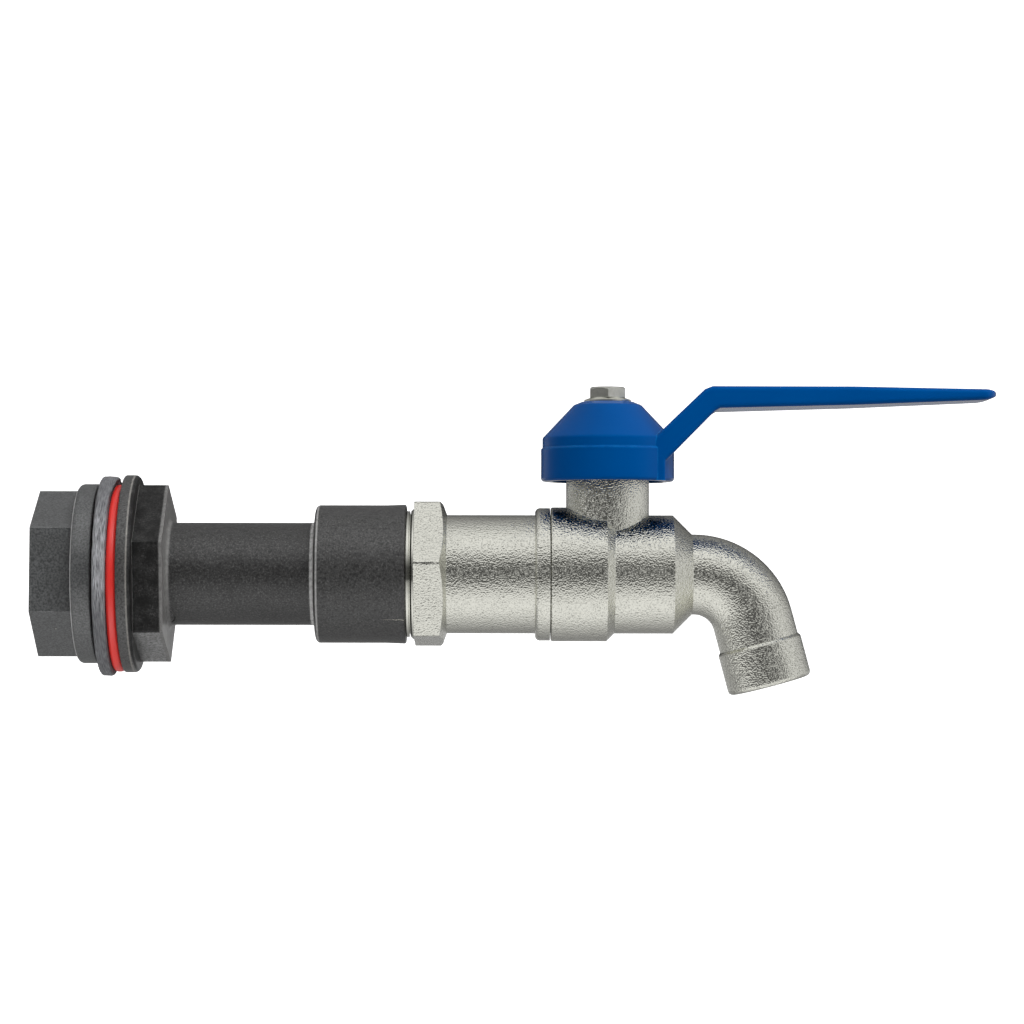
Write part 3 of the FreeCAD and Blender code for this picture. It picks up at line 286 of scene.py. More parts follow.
# Turned rings of the inlet adapter, next to the connector.
TURNED_LENGTH = 1.7 * MM

# Cast fillet from the spout up to its end ring.
SPOUT_RADIUS = 8.225 * MM
FILLET_LENGTH = 0.6 * MM
FILLET_SINK = 0.08 * MM
FILLET_STEPS = 128


class Look:
    """A material's node tree, put together one node at a time."""

    def __init__(self, name):
        self.material = bpy.data.materials.new(name)
        self.material.use_nodes = True
        self.tree = self.material.node_tree
        self.tree.nodes.clear()
        self.shader = self.add("ShaderNodeBsdfPrincipled")
        self.output = self.add("ShaderNodeOutputMaterial")
        self.link(self.shader.outputs["BSDF"], self.output.inputs["Surface"])
        self.place = self.add("ShaderNodeTexCoord").outputs["Object"]

    def add(self, kind, **settings):
        """A new node with the given settings."""
        node = self.tree.nodes.new(kind)
        for key, setting in settings.items():
            setattr(node, key, setting)
        return node

    def link(self, source, target):
        """Join an output to an input."""
        self.tree.links.new(source, target)

    def feed(self, socket, source):
        """Give an input a number, a colour or another node's output."""
        if isinstance(source, tuple):
            socket.default_value = (*source, 1)
        elif isinstance(source, (int, float)):
            socket.default_value = source
        else:
            self.link(source, socket)

    def set(self, **inputs):
        """Set the shader's own inputs, by name with underscores for spaces."""
        for key, source in inputs.items():
            self.feed(self.shader.inputs[key.replace("_", " ")], source)

    def glow(self, colour=None):
        """Give out light in place of the shader, white if no colour is given."""
        light = self.add("ShaderNodeEmission")
        if colour:
            self.link(colour, light.inputs["Color"])
        self.link(light.outputs[0], self.output.inputs["Surface"])

    def math(self, operation, first, second=0.0):
        """One or two values put through an operation."""
        node = self.add("ShaderNodeMath", operation=operation)
        self.feed(node.inputs[0], first)
        self.feed(node.inputs[1], second)
        return node.outputs[0]

    def times(self, first, second):
        """Two values multiplied."""
        return self.math("MULTIPLY", first, second)

    def parts(self, vector):
        """The X, Y and Z of a place or a direction."""
        node = self.add("ShaderNodeSeparateXYZ")
        self.link(vector, node.inputs[0])
        return node.outputs

    def facing(self):
        """The direction that the surface faces."""
        return self.add("ShaderNodeNewGeometry").outputs["Normal"]

    def softened(self, reach):
        """The direction that the surface faces, with its edges rounded over the given reach."""
        node = self.add("ShaderNodeBevel", samples=BEVEL_SAMPLES)
        node.inputs["Radius"].default_value = reach
        return node.outputs["Normal"]

    def from_axis(self):
        """Distance from the pipe's axis."""
        parts = self.parts(self.place)
        squares = [self.math("POWER", parts[axis], 2.0) for axis in ("Y", "Z")]
        return self.math("SQRT", self.math("ADD", *squares))

    def spread(self, source, low, high, to_low=0.0, to_high=1.0, smooth=False):
        """Map a range of one value to another range, held at its ends."""
        node = self.add("ShaderNodeMapRange", interpolation_type="SMOOTHSTEP" if smooth else "LINEAR")
        ends = {"From Min": low, "From Max": high, "To Min": to_low, "To Max": to_high}
        self.feed(node.inputs["Value"], source)
        for label, number in ends.items():
            self.feed(node.inputs[label], number)
        return node.outputs["Result"]

    def clouds(self, place, scale, detail, roughness=0.5):
        """Cloudy noise, by place times the scale."""
        node = self.add("ShaderNodeTexNoise")
        self.link(place, node.inputs["Vector"])
        node.inputs["Scale"].default_value = scale
        node.inputs["Detail"].default_value = detail
        node.inputs["Roughness"].default_value = roughness
        return node.outputs["Fac"]

    def grain(self, size, detail=2.0, roughness=0.5):
        """Cloudy grain with features of the given size in metres."""
        return self.clouds(self.place, 1 / size, detail, roughness)

    def ring_grain(self, size, stretch, detail=3.0):
        """Grain of the given size, drawn out round the pipe to the given length."""
        along, across, up = self.parts(self.place)
        turn = self.math("ARCTAN2", across, up)
        place = self.add("ShaderNodeCombineXYZ")
        self.link(self.math("DIVIDE", along, size), place.inputs[0])
        self.link(self.times(turn, RUBBER_RIM / stretch), place.inputs[1])
        self.link(self.math("DIVIDE", self.from_axis(), size), place.inputs[2])
        return self.clouds(place.outputs[0], 1.0, detail)

    def specks(self, spacing, radius, share):
        """Round specks on a jittered lattice, of which only a share shows."""
        node = self.add("ShaderNodeTexVoronoi")
        self.link(self.place, node.inputs["Vector"])
        node.inputs["Scale"].default_value = 1 / spacing
        dot = self.spread(node.outputs["Distance"], 0.5 * radius / spacing, radius / spacing, 1.0, 0.0)
        split = self.add("ShaderNodeSeparateColor")
        self.link(node.outputs["Color"], split.inputs["Color"])
        chosen = self.math("LESS_THAN", split.outputs["Red"], share)
        return self.times(dot, chosen)

    def blend(self, share, first, second):
        """A colour between two colours or colour outputs."""
        node = self.add("ShaderNodeMix", data_type="RGBA")
        self.feed(node.inputs["Factor"], share)
        for label, source in (("A", first), ("B", second)):
            socket = [s for s in node.inputs if s.name == label and s.type == "RGBA"][0]
            self.feed(socket, source)
        return [s for s in node.outputs if s.type == "RGBA"][0]

    def ramp(self, angle, levels):
        """Grey levels by an angle in radians, from a list of degrees and levels."""
        node = self.add("ShaderNodeValToRGB")
        self.link(self.math("DIVIDE", angle, math.pi), node.inputs["Fac"])
        stops = node.color_ramp.elements
        while len(stops) < len(levels):
            stops.new(0.5)
        for stop, (degrees, level) in zip(stops, levels):
            stop.position = degrees / 180
            stop.color = (level, level, level, 1)
        return node.outputs["Color"]

    def bump(self, height, depth, edge=None):
        """Relief of the given depth in metres, over softened edges if asked."""
        node = self.add("ShaderNodeBump")
        node.inputs["Distance"].default_value = depth
        self.link(height, node.inputs["Height"])
        if edge:
            self.link(self.softened(edge), node.inputs["Normal"])
        self.link(node.outputs["Normal"], self.shader.inputs["Normal"])

    def edge_mask(self, reach, low, high):
        """0 on plain surfaces, up to 1 along edges that turn within the given reach."""
        turn = self.add("ShaderNodeVectorMath", operation="DOT_PRODUCT")
        self.link(self.softened(reach), turn.inputs[0])
        self.link(self.facing(), turn.inputs[1])
        return self.spread(turn.outputs["Value"], 1 - high, 1 - low, 1.0, 0.0)

    def band(self, start, end, soft):
        """1 between two stations along the pipe, fading over a short length."""
        along = self.parts(self.place)["X"]
        rise = self.spread(along, start - soft, start + soft, smooth=True)
        fall = self.spread(along, end - soft, end + soft, 1.0, 0.0, smooth=True)
        return self.times(rise, fall)

    def outside(self, radius, soft):
        """0 to 1 as a point passes a distance from the pipe's axis."""
        return self.spread(self.from_axis(), radius - soft, radius + soft, smooth=True)

    def facing_down(self, low, high):
        """0 to 1 as a surface turns to face the floor."""
        up = self.parts(self.facing())["Z"]
        return self.spread(up, -high, -low, 1.0, 0.0)


def grey_plastic():
    """Moulded grey with painted shade in its pits, worn edges with painted highlights, and a painted
    highlight line along the edge of the flange.
    """
    look = Look("grey_plastic")
    fleck = look.specks(spacing=2.6 * MM, radius=0.16 * MM, share=0.03)
    cloud = look.blend(look.grain(6 * MM), NUT_SHADE, NUT_TINT)
    relief = look.grain(0.36 * MM, detail=3.0)
    # Painted shade: the hollows of the fine relief are darkened in the colour.
    fine = look.blend(look.spread(relief, low=0.36, high=0.64), NUT_PIT_SHADE, cloud)
    patchy = look.spread(look.grain(1.1 * MM, detail=3.0), low=0.3, high=0.65)
    # Worn edges with a painted highlight along them.
    edge = look.times(look.edge_mask(0.3 * MM, low=0.02, high=0.16), patchy)
    worn = look.blend(edge, fine, NUT_WEAR_AND_HIGHLIGHT)
    # Painted highlight line round the rim of the flange.
    rim = look.times(look.band(*NUT_RIM, soft=0.1 * MM), look.outside(NUT_RIM_FROM, soft=0.15 * MM))
    line = look.times(rim, look.spread(patchy, low=0.0, high=1.0, to_low=0.4, to_high=0.9))
    highlight_lined = look.blend(line, worn, NUT_RIM_HIGHLIGHT)
    look.set(Base_Color=look.blend(fleck, highlight_lined, NUT_FLECK), Roughness=0.3, IOR=1.7)
    waves = look.times(look.grain(5 * MM, detail=1.0), NUT_WAVES)
    look.bump(look.math("ADD", relief, waves), depth=0.035 * MM, edge=0.2 * MM)
    return look.material


def black_plastic(socket_end):
    """Moulded black: dusty flange and socket; painted shade on the hexagon and in its pits; worn edges with
    painted highlights; painted light on the hexagon's end and underside, the step, the socket's corner and
    the flange's line.
    """
    look = Look("black_plastic")
    fleck = look.specks(spacing=2.8 * MM, radius=0.14 * MM, share=0.08)
    mottle = look.spread(look.grain(0.8 * MM, detail=4.0), low=0.3, high=0.75, to_low=0.45, to_high=1.0)
    relief = look.grain(0.42 * MM, detail=3.0)

    cloud = look.blend(look.grain(7 * MM), PIPE_SHADE, PIPE_TINT)
    dusty = look.blend(look.band(*FLANGE, soft=0.1 * MM), cloud, FLANGE_DUST)
    on_socket = look.band(SOCKET_START, socket_end, soft=0.3 * MM)
    dulled = look.blend(look.times(on_socket, SOCKET_DUST_SHARE), dusty, SOCKET_DUST)
    specks = look.spread(look.grain(0.3 * MM, roughness=0.6), low=0.48, high=0.76, to_low=0.0, to_high=0.6)
    specked = look.blend(specks, dulled, PIPE_SPECK)

    on_hex = look.band(*HEXAGON, soft=0.1 * MM)
    # Painted shade: the hexagon's facets are darkened in patches.
    hex_shade_amount = look.spread(look.grain(2.2 * MM), low=0.35, high=0.65, to_low=0.35, to_high=0.85)
    dark = look.blend(look.times(on_hex, hex_shade_amount), specked, HEX_PAINTED_SHADE)
    # Painted light from below: the hexagon's downward facets are made paler.
    under = look.times(look.facing_down(low=0.7, high=0.9), on_hex)
    under_lit_hex = look.blend(look.times(under, mottle), dark, HEX_UNDER_LIGHT)
    # Painted shade: the hollows of the fine relief are darkened in the colour.
    pits = look.spread(relief, low=0.32, high=0.54, to_low=0.75, to_high=0.0)
    pit_shaded = look.blend(pits, under_lit_hex, PIPE_PIT_SHADE)

    # Worn edges with a painted highlight along them.
    edge = look.times(look.edge_mask(0.3 * MM, low=0.03, high=0.3), mottle)
    edge_highlighted = look.blend(look.times(edge, PIPE_WEAR_AND_HIGHLIGHT_SHARE), pit_shaded, PIPE_WEAR_AND_HIGHLIGHT)
    # Painted highlight on the end of the hexagon.
    hex_end = look.band(*HEX_END, soft=0.25 * MM)
    end_highlighted = look.blend(look.times(hex_end, mottle), edge_highlighted, HEX_END_HIGHLIGHT)
    # Painted highlight on the hollow foot of the step to the socket.
    inside = look.math("SUBTRACT", 1.0, look.outside(TUBE_RADIUS + STEP_HOLLOW, soft=0.15 * MM))
    slope = look.times(look.band(STEP_WALL - STEP_HOLLOW, STEP_WALL, soft=0.1 * MM), inside)
    step_highlighted = look.blend(look.times(slope, mottle), end_highlighted, STEP_HIGHLIGHT)
    # Painted highlight line on the corner of the socket.
    on_corner = look.band(*SOCKET_CORNER, soft=0.15 * MM)
    corner = look.times(on_corner, look.outside(SOCKET_CORNER_FROM, soft=0.2 * MM))
    corner_highlighted = look.blend(look.times(corner, mottle), step_highlighted, SOCKET_CORNER_HIGHLIGHT)
    # Painted highlight line where the flange starts to round over.
    on_line = look.band(*FLANGE_LINE, soft=0.08 * MM)
    line = look.times(on_line, look.outside(FLANGE_LINE_FROM, soft=0.2 * MM))
    highlight_lined = look.blend(look.times(line, mottle), corner_highlighted, FLANGE_LINE_HIGHLIGHT)

    look.set(Base_Color=look.blend(fleck, highlight_lined, PIPE_FLECK), IOR=1.5)
    look.set(Roughness=look.spread(slope, low=0.0, high=1.0, to_low=0.3, to_high=0.25))
    look.set(Specular_IOR_Level=look.spread(on_hex, low=0.0, high=1.0, to_low=0.5, to_high=0.22))
    waves = look.times(look.grain(5 * MM, detail=1.0), PIPE_WAVES)
    look.bump(look.math("ADD", relief, waves), depth=0.045 * MM, edge=0.15 * MM)
    return look.material


def pale_flash():
    """Pale edge of the thin flash."""
    look = Look("pale_flash")
    look.set(Base_Color=look.blend(look.grain(0.6 * MM), FLASH_SHADE, FLASH_TINT), Roughness=0.5)
    return look.material


def black_rubber():
    """Rubber streaked round the pipe and dusty, with painted shade darkening it towards its top and bottom.
    """
    look = Look("black_rubber")
    streak = look.ring_grain(0.16 * MM, stretch=2.0 * MM)
    height = look.parts(look.place)["Z"]
    # Painted shade: the pale dust fades towards the washer's top and bottom, leaving them darker.
    off_middle = look.math("ABSOLUTE", look.math("SUBTRACT", height, RUBBER_UNSHADED_AT))
    dusty = look.spread(off_middle, RUBBER_UNSHADED_FULL, RUBBER_SHADED_END, to_low=1.0, to_high=0.33, smooth=True)
    dust = look.times(look.spread(streak, low=0.34, high=0.66), dusty)
    cloud = look.blend(look.grain(2.0 * MM), RUBBER_SHADE, RUBBER_TINT)
    look.set(Base_Color=look.blend(dust, RUBBER_BARE, cloud), Roughness=0.75)
    look.bump(streak, depth=0.06 * MM)
    return look.material


def red_rubber():
    """Smooth red with a slight gloss."""
    look = Look("red_rubber")
    cloud = look.blend(look.grain(4 * MM), RED_SHADE, RED_TINT)
    look.set(Base_Color=cloud, Roughness=0.32, Coat_Weight=0.2, Coat_Roughness=0.15)
    look.bump(look.grain(0.8 * MM), depth=0.01 * MM)
    return look.material


def plated_brass(turned_from):
    """Nickel over a blasted casting with painted shade in its pits, smooth on the turned rings from a station
    along the pipe.
    """
    look = Look("plated_brass")
    turned = look.band(turned_from, turned_from + TURNED_LENGTH, soft=0.02 * MM)
    cast = look.math("SUBTRACT", 1.0, turned)
    pits = look.grain(0.31 * MM, detail=0.4)
    swell = look.grain(0.8 * MM, detail=0.0)
    relief = look.math("ADD", pits, look.times(swell, NICKEL_SWELL))
    # Painted shade in the pits of the casting.
    shade = look.times(look.spread(pits, low=0.24, high=0.42, to_low=1.0, to_high=0.0), cast)
    tint = look.blend(look.grain(7 * MM), NICKEL_SHADE, NICKEL_TINT)
    look.set(Base_Color=look.blend(look.times(shade, NICKEL_PIT_SHADE_SHARE), tint, NICKEL_PIT_SHADE), Metallic=1.0)
    look.set(Roughness=look.spread(cast, low=0.0, high=1.0, to_low=0.08, to_high=0.13))
    look.bump(look.times(relief, cast), depth=0.145 * MM, edge=0.2 * MM)
    return look.material


def bright_plate():
    """Polished plate of the ball."""
    look = Look("bright_plate")
    polish = look.spread(look.grain(3 * MM), low=0.3, high=0.7, to_low=0.05, to_high=0.1)
    look.set(Base_Color=BALL_TINT, Metallic=1.0, Roughness=polish)
    return look.material


def white_seal():
    """Smooth white of the seats and packing."""
    look = Look("white_seal")
    look.set(Base_Color=look.blend(look.grain(3 * MM), SEAL_SHADE, SEAL_TINT), Roughness=0.45)
    return look.material


def bare_brass():
    """Turned brass of the stem and gland nut."""
    look = Look("bare_brass")
    tint = look.blend(look.grain(3 * MM), BRASS_SHADE, BRASS_TINT)
    look.set(Base_Color=tint, Metallic=1.0, Roughness=0.26)
    look.bump(look.grain(0.25 * MM), depth=0.01 * MM)
    return look.material


def blue_paint():
    """Gloss paint on a casting, with a painted highlight along its edges."""
    look = Look("blue_paint")
    tint = look.blend(look.grain(12 * MM), BLUE_SHADE, BLUE_TINT)
    patchy = look.spread(look.grain(2.5 * MM, detail=3.0), low=0.3, high=0.65, to_low=0.3, to_high=1.0)
    # Painted highlight along the paint's edges.
    edge = look.times(look.edge_mask(0.6 * MM, low=0.01, high=0.12), patchy)
    edge_highlighted = look.blend(look.times(edge, BLUE_EDGE_HIGHLIGHT_SHARE), tint, BLUE_EDGE_HIGHLIGHT)
    look.set(Base_Color=edge_highlighted, Roughness=0.2, Specular_IOR_Level=0.15, Specular_Tint=BLUE_SHINE)
    look.bump(look.grain(1.6 * MM, detail=1.0), depth=0.02 * MM, edge=0.35 * MM)
    return look.material


def zinc_steel():
    """Dull zinc of the handle screw."""
    look = Look("zinc_steel")
    tint = look.blend(look.grain(1.0 * MM, detail=4.0), ZINC_SHADE, ZINC_TINT)
    look.set(Base_Color=tint, Metallic=1.0, Roughness=0.28)
    look.bump(look.grain(0.4 * MM, detail=3.0), depth=0.03 * MM, edge=0.2 * MM)
    return look.material


def paint_nodes():
    """Give every CAD node the look of its slot."""
    ring_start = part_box("tank_connector")[1][0]
    looks = {
        "grey_plastic": grey_plastic(),
        "black_rubber": black_rubber(),
        "red_rubber": red_rubber(),
        "black_plastic": black_plastic(ring_start),
        "plated_brass": plated_brass(ring_start),
        "bright_plate": bright_plate(),
        "white_seal": white_seal(),
        "bare_brass": bare_brass(),
        "blue_paint": blue_paint(),
        "zinc_steel": zinc_steel(),
    }
    for part in frame["record"]["subparts"]:
        mesh = frame["nodes"][part["node"]].data
        mesh.materials.clear()
        mesh.materials.append(looks[part["material_slot"]])
    return looks


def new_piece(name, corners, faces):
    """A mesh object with its faces turned outwards."""
    mesh = bpy.data.meshes.new(name)
    mesh.from_pydata(corners, [], faces)
    shape = bmesh.new()
    shape.from_mesh(mesh)
    bmesh.ops.recalc_face_normals(shape, faces=shape.faces)
    shape.to_mesh(mesh)
    shape.free()
    piece = bpy.data.objects.new(name, mesh)
    bpy.context.scene.collection.objects.link(piece)
    return piece


def skin(count, loops, ring=False):
    """Faces over loops of so many corners each, joined into a ring or capped at both ends."""
    faces = []
    if not ring:
        last = count * (loops - 1)
        faces.append(tuple(range(count)))
        faces.append(tuple(range(last, last + count)))
    for loop in range(loops if ring else loops - 1):
        near, far = count * loop, count * ((loop + 1) % loops)
        for point in range(count):
            after = (point + 1) % count
            faces.append((near + point, near + after, far + after, far + point))
    return faces


def dress(piece, body, slot, *nodes, sharp=SHARP):
    """Smooth a piece, give it its look, and set it on its body in place of the nodes it stands for."""
    for polygon in piece.data.polygons:
        polygon.use_smooth = True
    piece.data.set_sharp_from_angle(angle=sharp)
    piece.data.materials.clear()
    piece.data.materials.append(looks[slot])
    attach(piece, body)
    if nodes:
        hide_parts(*nodes)


def copy_node(name, node):
    """A new object of a node's shape, welded along the seams of its faces."""
    shape = bmesh.new()
    shape.from_mesh(frame["nodes"][node].data)
    bmesh.ops.remove_doubles(shape, verts=shape.verts, dist=WELD)
    shape.verts.index_update()
    corners = [corner.co[:] for corner in shape.verts]
    faces = [[corner.index for corner in face.verts] for face in shape.faces]
    shape.free()
    return new_piece(name, corners, faces)


def carve(piece, cutters):
    """Cut each cutter's shape out of a piece, and take the cutters away."""
    for cutter in cutters:
        step = piece.modifiers.new("cut", "BOOLEAN")
        step.operation = "DIFFERENCE"
        step.solver = "EXACT"
        step.object = cutter
    bpy.context.view_layer.update()
    graph = bpy.context.evaluated_depsgraph_get()
    cut = bpy.data.meshes.new_from_object(piece.evaluated_get(graph))
    piece.modifiers.clear()
    piece.data = cut
    for cutter in cutters:
        bpy.data.objects.remove(cutter)
    flats = piece.modifiers.new("flats", "WEIGHTED_NORMAL")
    flats.keep_sharp = True


def thread_cutter(start, end, mouth, root, run_out):
    """A coiled V between two stations along the pipe, wide at its mouth's radius and narrow at its root's."""
    steps = math.ceil((end - start) / PITCH * TURN_STEPS)
    corners = []
    for step in range(steps + 1):
        x = start + (end - start) * step / steps
        angle = math.tau * x / PITCH
        depth = root - mouth
        if run_out:
            depth *= max(RUN_OUT_LEAST, min(1.0, (end - x) / (RUN_OUT_TURNS * PITCH)))
        narrow = FLAT / 2
        wide = FLAT / 2 + abs(depth) * FLANK
        section = ((-narrow, mouth + depth), (narrow, mouth + depth), (wide, mouth), (-wide, mouth))
        for shift, radius in section:
            corners.append((x + shift, radius * math.cos(angle), radius * math.sin(angle)))
    return new_piece("thread_cutter", corners, skin(len(section), steps + 1))


def gate_cutter():
    """A thin bent rod that leaves the groove of the gate mark in the tube."""
    corners = []
    for step in range(GATE_STEPS + 1):
        angle = GATE_SWEEP * (2 * step / GATE_STEPS - 1)
        x = GATE_X + GATE_RADIUS * math.cos(angle)
        turn = GATE_TURN + GATE_RADIUS * math.sin(angle) / TUBE_RADIUS
        out = Vector((0, -math.cos(turn), -math.sin(turn)))
        round_tube = Vector((0, math.sin(turn), -math.cos(turn)))
        across = Vector((math.cos(angle), 0, 0)) + round_tube * math.sin(angle)
        centre = out * TUBE_RADIUS + Vector((x, 0, 0))
        for side in range(GATE_SIDES):
            spin = math.tau * side / GATE_SIDES
            corners.append(centre + GATE_GROOVE * (across * math.cos(spin) + out * math.sin(spin)))
    return new_piece("gate_cutter", corners, skin(GATE_SIDES, GATE_STEPS + 1))


def step_cutter():
    """A ring that hollows the foot of the step from the tube to the socket."""
    foot = STEP_WALL - STEP_HOLLOW
    section = []
    for step in range(STEP_ARC + 1):
        angle = math.pi / 2 * step / STEP_ARC
        rise = STEP_HOLLOW * (1 - math.cos(angle))
        section.append((foot + STEP_HOLLOW * math.sin(angle), TUBE_RADIUS + WELD + rise))
    section.append((STEP_WALL, SOCKET_RADIUS + STEP_CLEAR))
    section.append((foot - STEP_CLEAR, SOCKET_RADIUS + STEP_CLEAR))
    section.append((foot - STEP_CLEAR, TUBE_RADIUS + STEP_CLEAR))
    corners = []
    for turn in range(STEP_TURNS):
        angle = math.tau * turn / STEP_TURNS
        corners.extend((x, radius * math.cos(angle), radius * math.sin(angle)) for x, radius in section)
    return new_piece("step_cutter", corners, skin(len(section), STEP_TURNS, ring=True))


def make_connector():
    """The tank connector with its outside thread, gate mark and hollowed step."""
    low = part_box("tank_connector")[0]
    piece = copy_node("threaded_connector", "tank_connector")
    thread = thread_cutter(low[0] - PITCH, THREAD_STOP, THREAD_CREST + CUT_OVERLAP, THREAD_ROOT, True)
    carve(piece, [thread, gate_cutter(), step_cutter()])
    dress(piece, "tap", "black_plastic", "tank_connector")


def make_backnut():
    """The backnut with its inside thread."""
    low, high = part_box("backnut")
    piece = copy_node("threaded_backnut", "backnut")
    thread = thread_cutter(low[0] - PITCH, high[0] + PITCH, NUT_BORE - CUT_OVERLAP, NUT_ROOT, False)
    carve(piece, [thread])
    dress(piece, "nut", "grey_plastic", "backnut")


def make_flash():
    """A thin ridge of flash along the socket, running out into its mouth."""
    out = Vector((0, -math.cos(FLASH_TURN), -math.sin(FLASH_TURN)))
    side = Vector((0, -math.sin(FLASH_TURN), math.cos(FLASH_TURN)))
    corners = []
    for step in range(FLASH_STEPS + 1):
        share = step / FLASH_STEPS
        x = FLASH_FROM + FLASH_LENGTH * share
        socket = SOCKET_RADIUS + SOCKET_FLARE * max(0, x - SOCKET_FLARE_X)
        wave = FLASH_MEAN + FLASH_SWING * noise.noise((x / FLASH_WAVE, 0, 0))
        swell = math.sin(math.pi / 2 * share) * wave
        wide = FLASH_WIDTH / 2 * swell
        tall = FLASH_HEIGHT * swell
        section = ((-wide, socket - FLASH_HEIGHT), (wide, socket - FLASH_HEIGHT), (0, socket + tall))
        for shift, radius in section:
            corners.append(out * radius + side * shift + Vector((x, 0, 0)))
    piece = new_piece("mould_flash", corners, skin(len(section), FLASH_STEPS + 1))
    dress(piece, "tap", "black_plastic")
    piece.data.materials[0] = pale_flash()


def washer_section(left, right, hole, edge_long, edge_high, rim):
    """Half a washer's section, from its hole over its rim.

    Each point has its place along the pipe, its radius, and the way out of the rubber.
    """
    face = rim - edge_high - hole
    section = [(left, hole + face * step / FACE_STEPS, -1.0, 0.0) for step in range(FACE_STEPS)]
    for step in range(EDGE_STEPS):
        angle = math.pi / 2 * step / EDGE_STEPS
        long, high = math.cos(angle), math.sin(angle)
        section.append((left + edge_long * (1 - long), rim - edge_high * (1 - high), -long, high))
    mirrored = [(left + right - x, radius, -out, up) for x, radius, out, up in section]
    for step in range(RIM_STEPS + 1):
        section.append((left + edge_long + (right - left - 2 * edge_long) * step / RIM_STEPS, rim, 0.0, 1.0))
    return section + mirrored[::-1]


def spin_section(name, section, turns, height, shift):
    """A ring of the section round the pipe at the given height, each point moved as shift says."""
    corners = []
    for turn in range(turns):
        angle = math.tau * turn / turns
        for x, radius, out, up in section:
            along, away = shift(angle, x, radius, out, up)
            corners.append((along, away * math.sin(angle), height + away * math.cos(angle)))
    return new_piece(name, corners, skin(len(section), turns, ring=True))


def make_rubber_washer():
    """The rubber washer, its skin rough and streaked, with a torn lip over the red washer at the top."""
    low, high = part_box("rubber_washer")
    left, right = low[0], high[0]
    rim = (high[2] - low[2]) / 2
    centre = (left + right) / 2

    def shift(angle, x, radius, out, up):
        round_ring = Vector((math.cos(angle), math.sin(angle), 0)) * radius / RUBBER_STREAK
        streak = noise.noise(round_ring + Vector((0, 0, (x + radius) / RUBBER_GRAIN)))
        grain = noise.noise(Vector((x, radius * math.cos(angle), radius * math.sin(angle))) / RUBBER_GRAIN)
        worn = RUBBER_WEAR * (WEAR_MEAN + WEAR_STREAK * streak + WEAR_GRAIN * grain)
        if radius < rim - LIP_FROM:
            worn *= WEAR_INSIDE
        from_top = min(angle, math.tau - angle)
        lip = 0.0
        if from_top < LIP_HALF_TURN and x > centre and radius > rim - LIP_FROM:
            fade = math.cos(math.pi / 2 * from_top / LIP_HALF_TURN) ** LIP_FADE
            tear = TEAR_MEAN + TEAR_SWING * noise.noise(Vector((angle * rim / LIP_TEAR, 0, 0)))
            lip = LIP_REACH * fade * tear * (x - centre) / (right - centre)
        return x - out * worn + lip, radius - up * worn

    section = washer_section(left, right, RUBBER_HOLE, RUBBER_EDGE, RUBBER_EDGE, rim)
    piece = spin_section("rough_washer", section, RUBBER_TURNS, (low[2] + high[2]) / 2, shift)
    dress(piece, "inner_washer", "black_rubber", "rubber_washer", sharp=WASHER_SHARP)


def make_red_washer():
    """The red washer with its squeezed, rounded rim."""
    low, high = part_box("red_washer")
    rim = (high[2] - low[2]) / 2
    bulge = RED_BULGE_SHARE * ((high[0] - low[0]) / 2)

    def shift(angle, x, radius, out, up):
        return x, radius

    section = washer_section(low[0], high[0], RED_HOLE, bulge, RED_BULGE, rim)
    piece = spin_section("squeezed_washer", section, RED_TURNS, (low[2] + high[2]) / 2, shift)
    dress(piece, "tap", "red_rubber", "red_washer", sharp=WASHER_SHARP)


def make_nose_fillet():
    """The sloped step from the spout to its end ring."""
    nose = [mount for mount in frame["record"]["mounts"] if mount["name"] == "spout_nose"][0]
    along = Vector(nose["axis"])
    start = Vector(nose["pos_m"]) - along * nose["dims"]["length_mm"] * MM / 2
    ring = nose["dims"]["r_mm"] * MM
    side = Vector((0, 1, 0))
    up = side.cross(along)
    section = (
        (-FILLET_LENGTH, SPOUT_RADIUS - FILLET_SINK),
        (-FILLET_LENGTH, SPOUT_RADIUS),
        (0.0, ring),
        (FILLET_SINK, ring - FILLET_SINK),
    )
    corners = []
    for step in range(FILLET_STEPS):
        angle = math.tau * step / FILLET_STEPS
        out = side * math.cos(angle) + up * math.sin(angle)
        corners.extend(start + along * place + out * radius for place, radius in section)
    piece = new_piece("nose_fillet", corners, skin(len(section), FILLET_STEPS, ring=True))
    dress(piece, "tap", "plated_brass")


def leave_out(piece, *flags):
    """Leave a part of the studio out of the given kinds of ray."""
    for flag in flags:
        setattr(piece, flag, False)


def make_backdrop():
    """A pale floor that curves up into a wall behind the object."""
    look = Look("pale_stage")
    look.set(Base_Color=FLOOR_TINT, Roughness=0.9, Emission_Color=WHITE, Emission_Strength=1.0)
    floor = cad_box[0][2] - FLOOR_BELOW
    line = [(STAGE_FRONT, floor)]
    for step in range(COVE_STEPS + 1):
        angle = math.pi / 2 * step / COVE_STEPS
        rise = COVE_RADIUS * (1 - math.cos(angle))
        line.append((COVE_START + COVE_RADIUS * math.sin(angle), floor + rise))
    line.append((COVE_START + COVE_RADIUS, WALL_TOP))
    corners = []
    for y, z in line:
        corners.append((MIDDLE.x - STAGE_WIDTH / 2, y, z))
        corners.append((MIDDLE.x + STAGE_WIDTH / 2, y, z))
    faces = [(2 * i, 2 * i + 1, 2 * i + 3, 2 * i + 2) for i in range(len(line) - 1)]
    mesh = bpy.data.meshes.new("backdrop")
    mesh.from_pydata(corners, [], faces)
    mesh.materials.append(look.material)
    for polygon in mesh.polygons:
        polygon.use_smooth = True
    piece = bpy.data.objects.new("backdrop", mesh)
    bpy.context.scene.collection.objects.link(piece)
    leave_out(piece, "visible_glossy", "visible_diffuse")


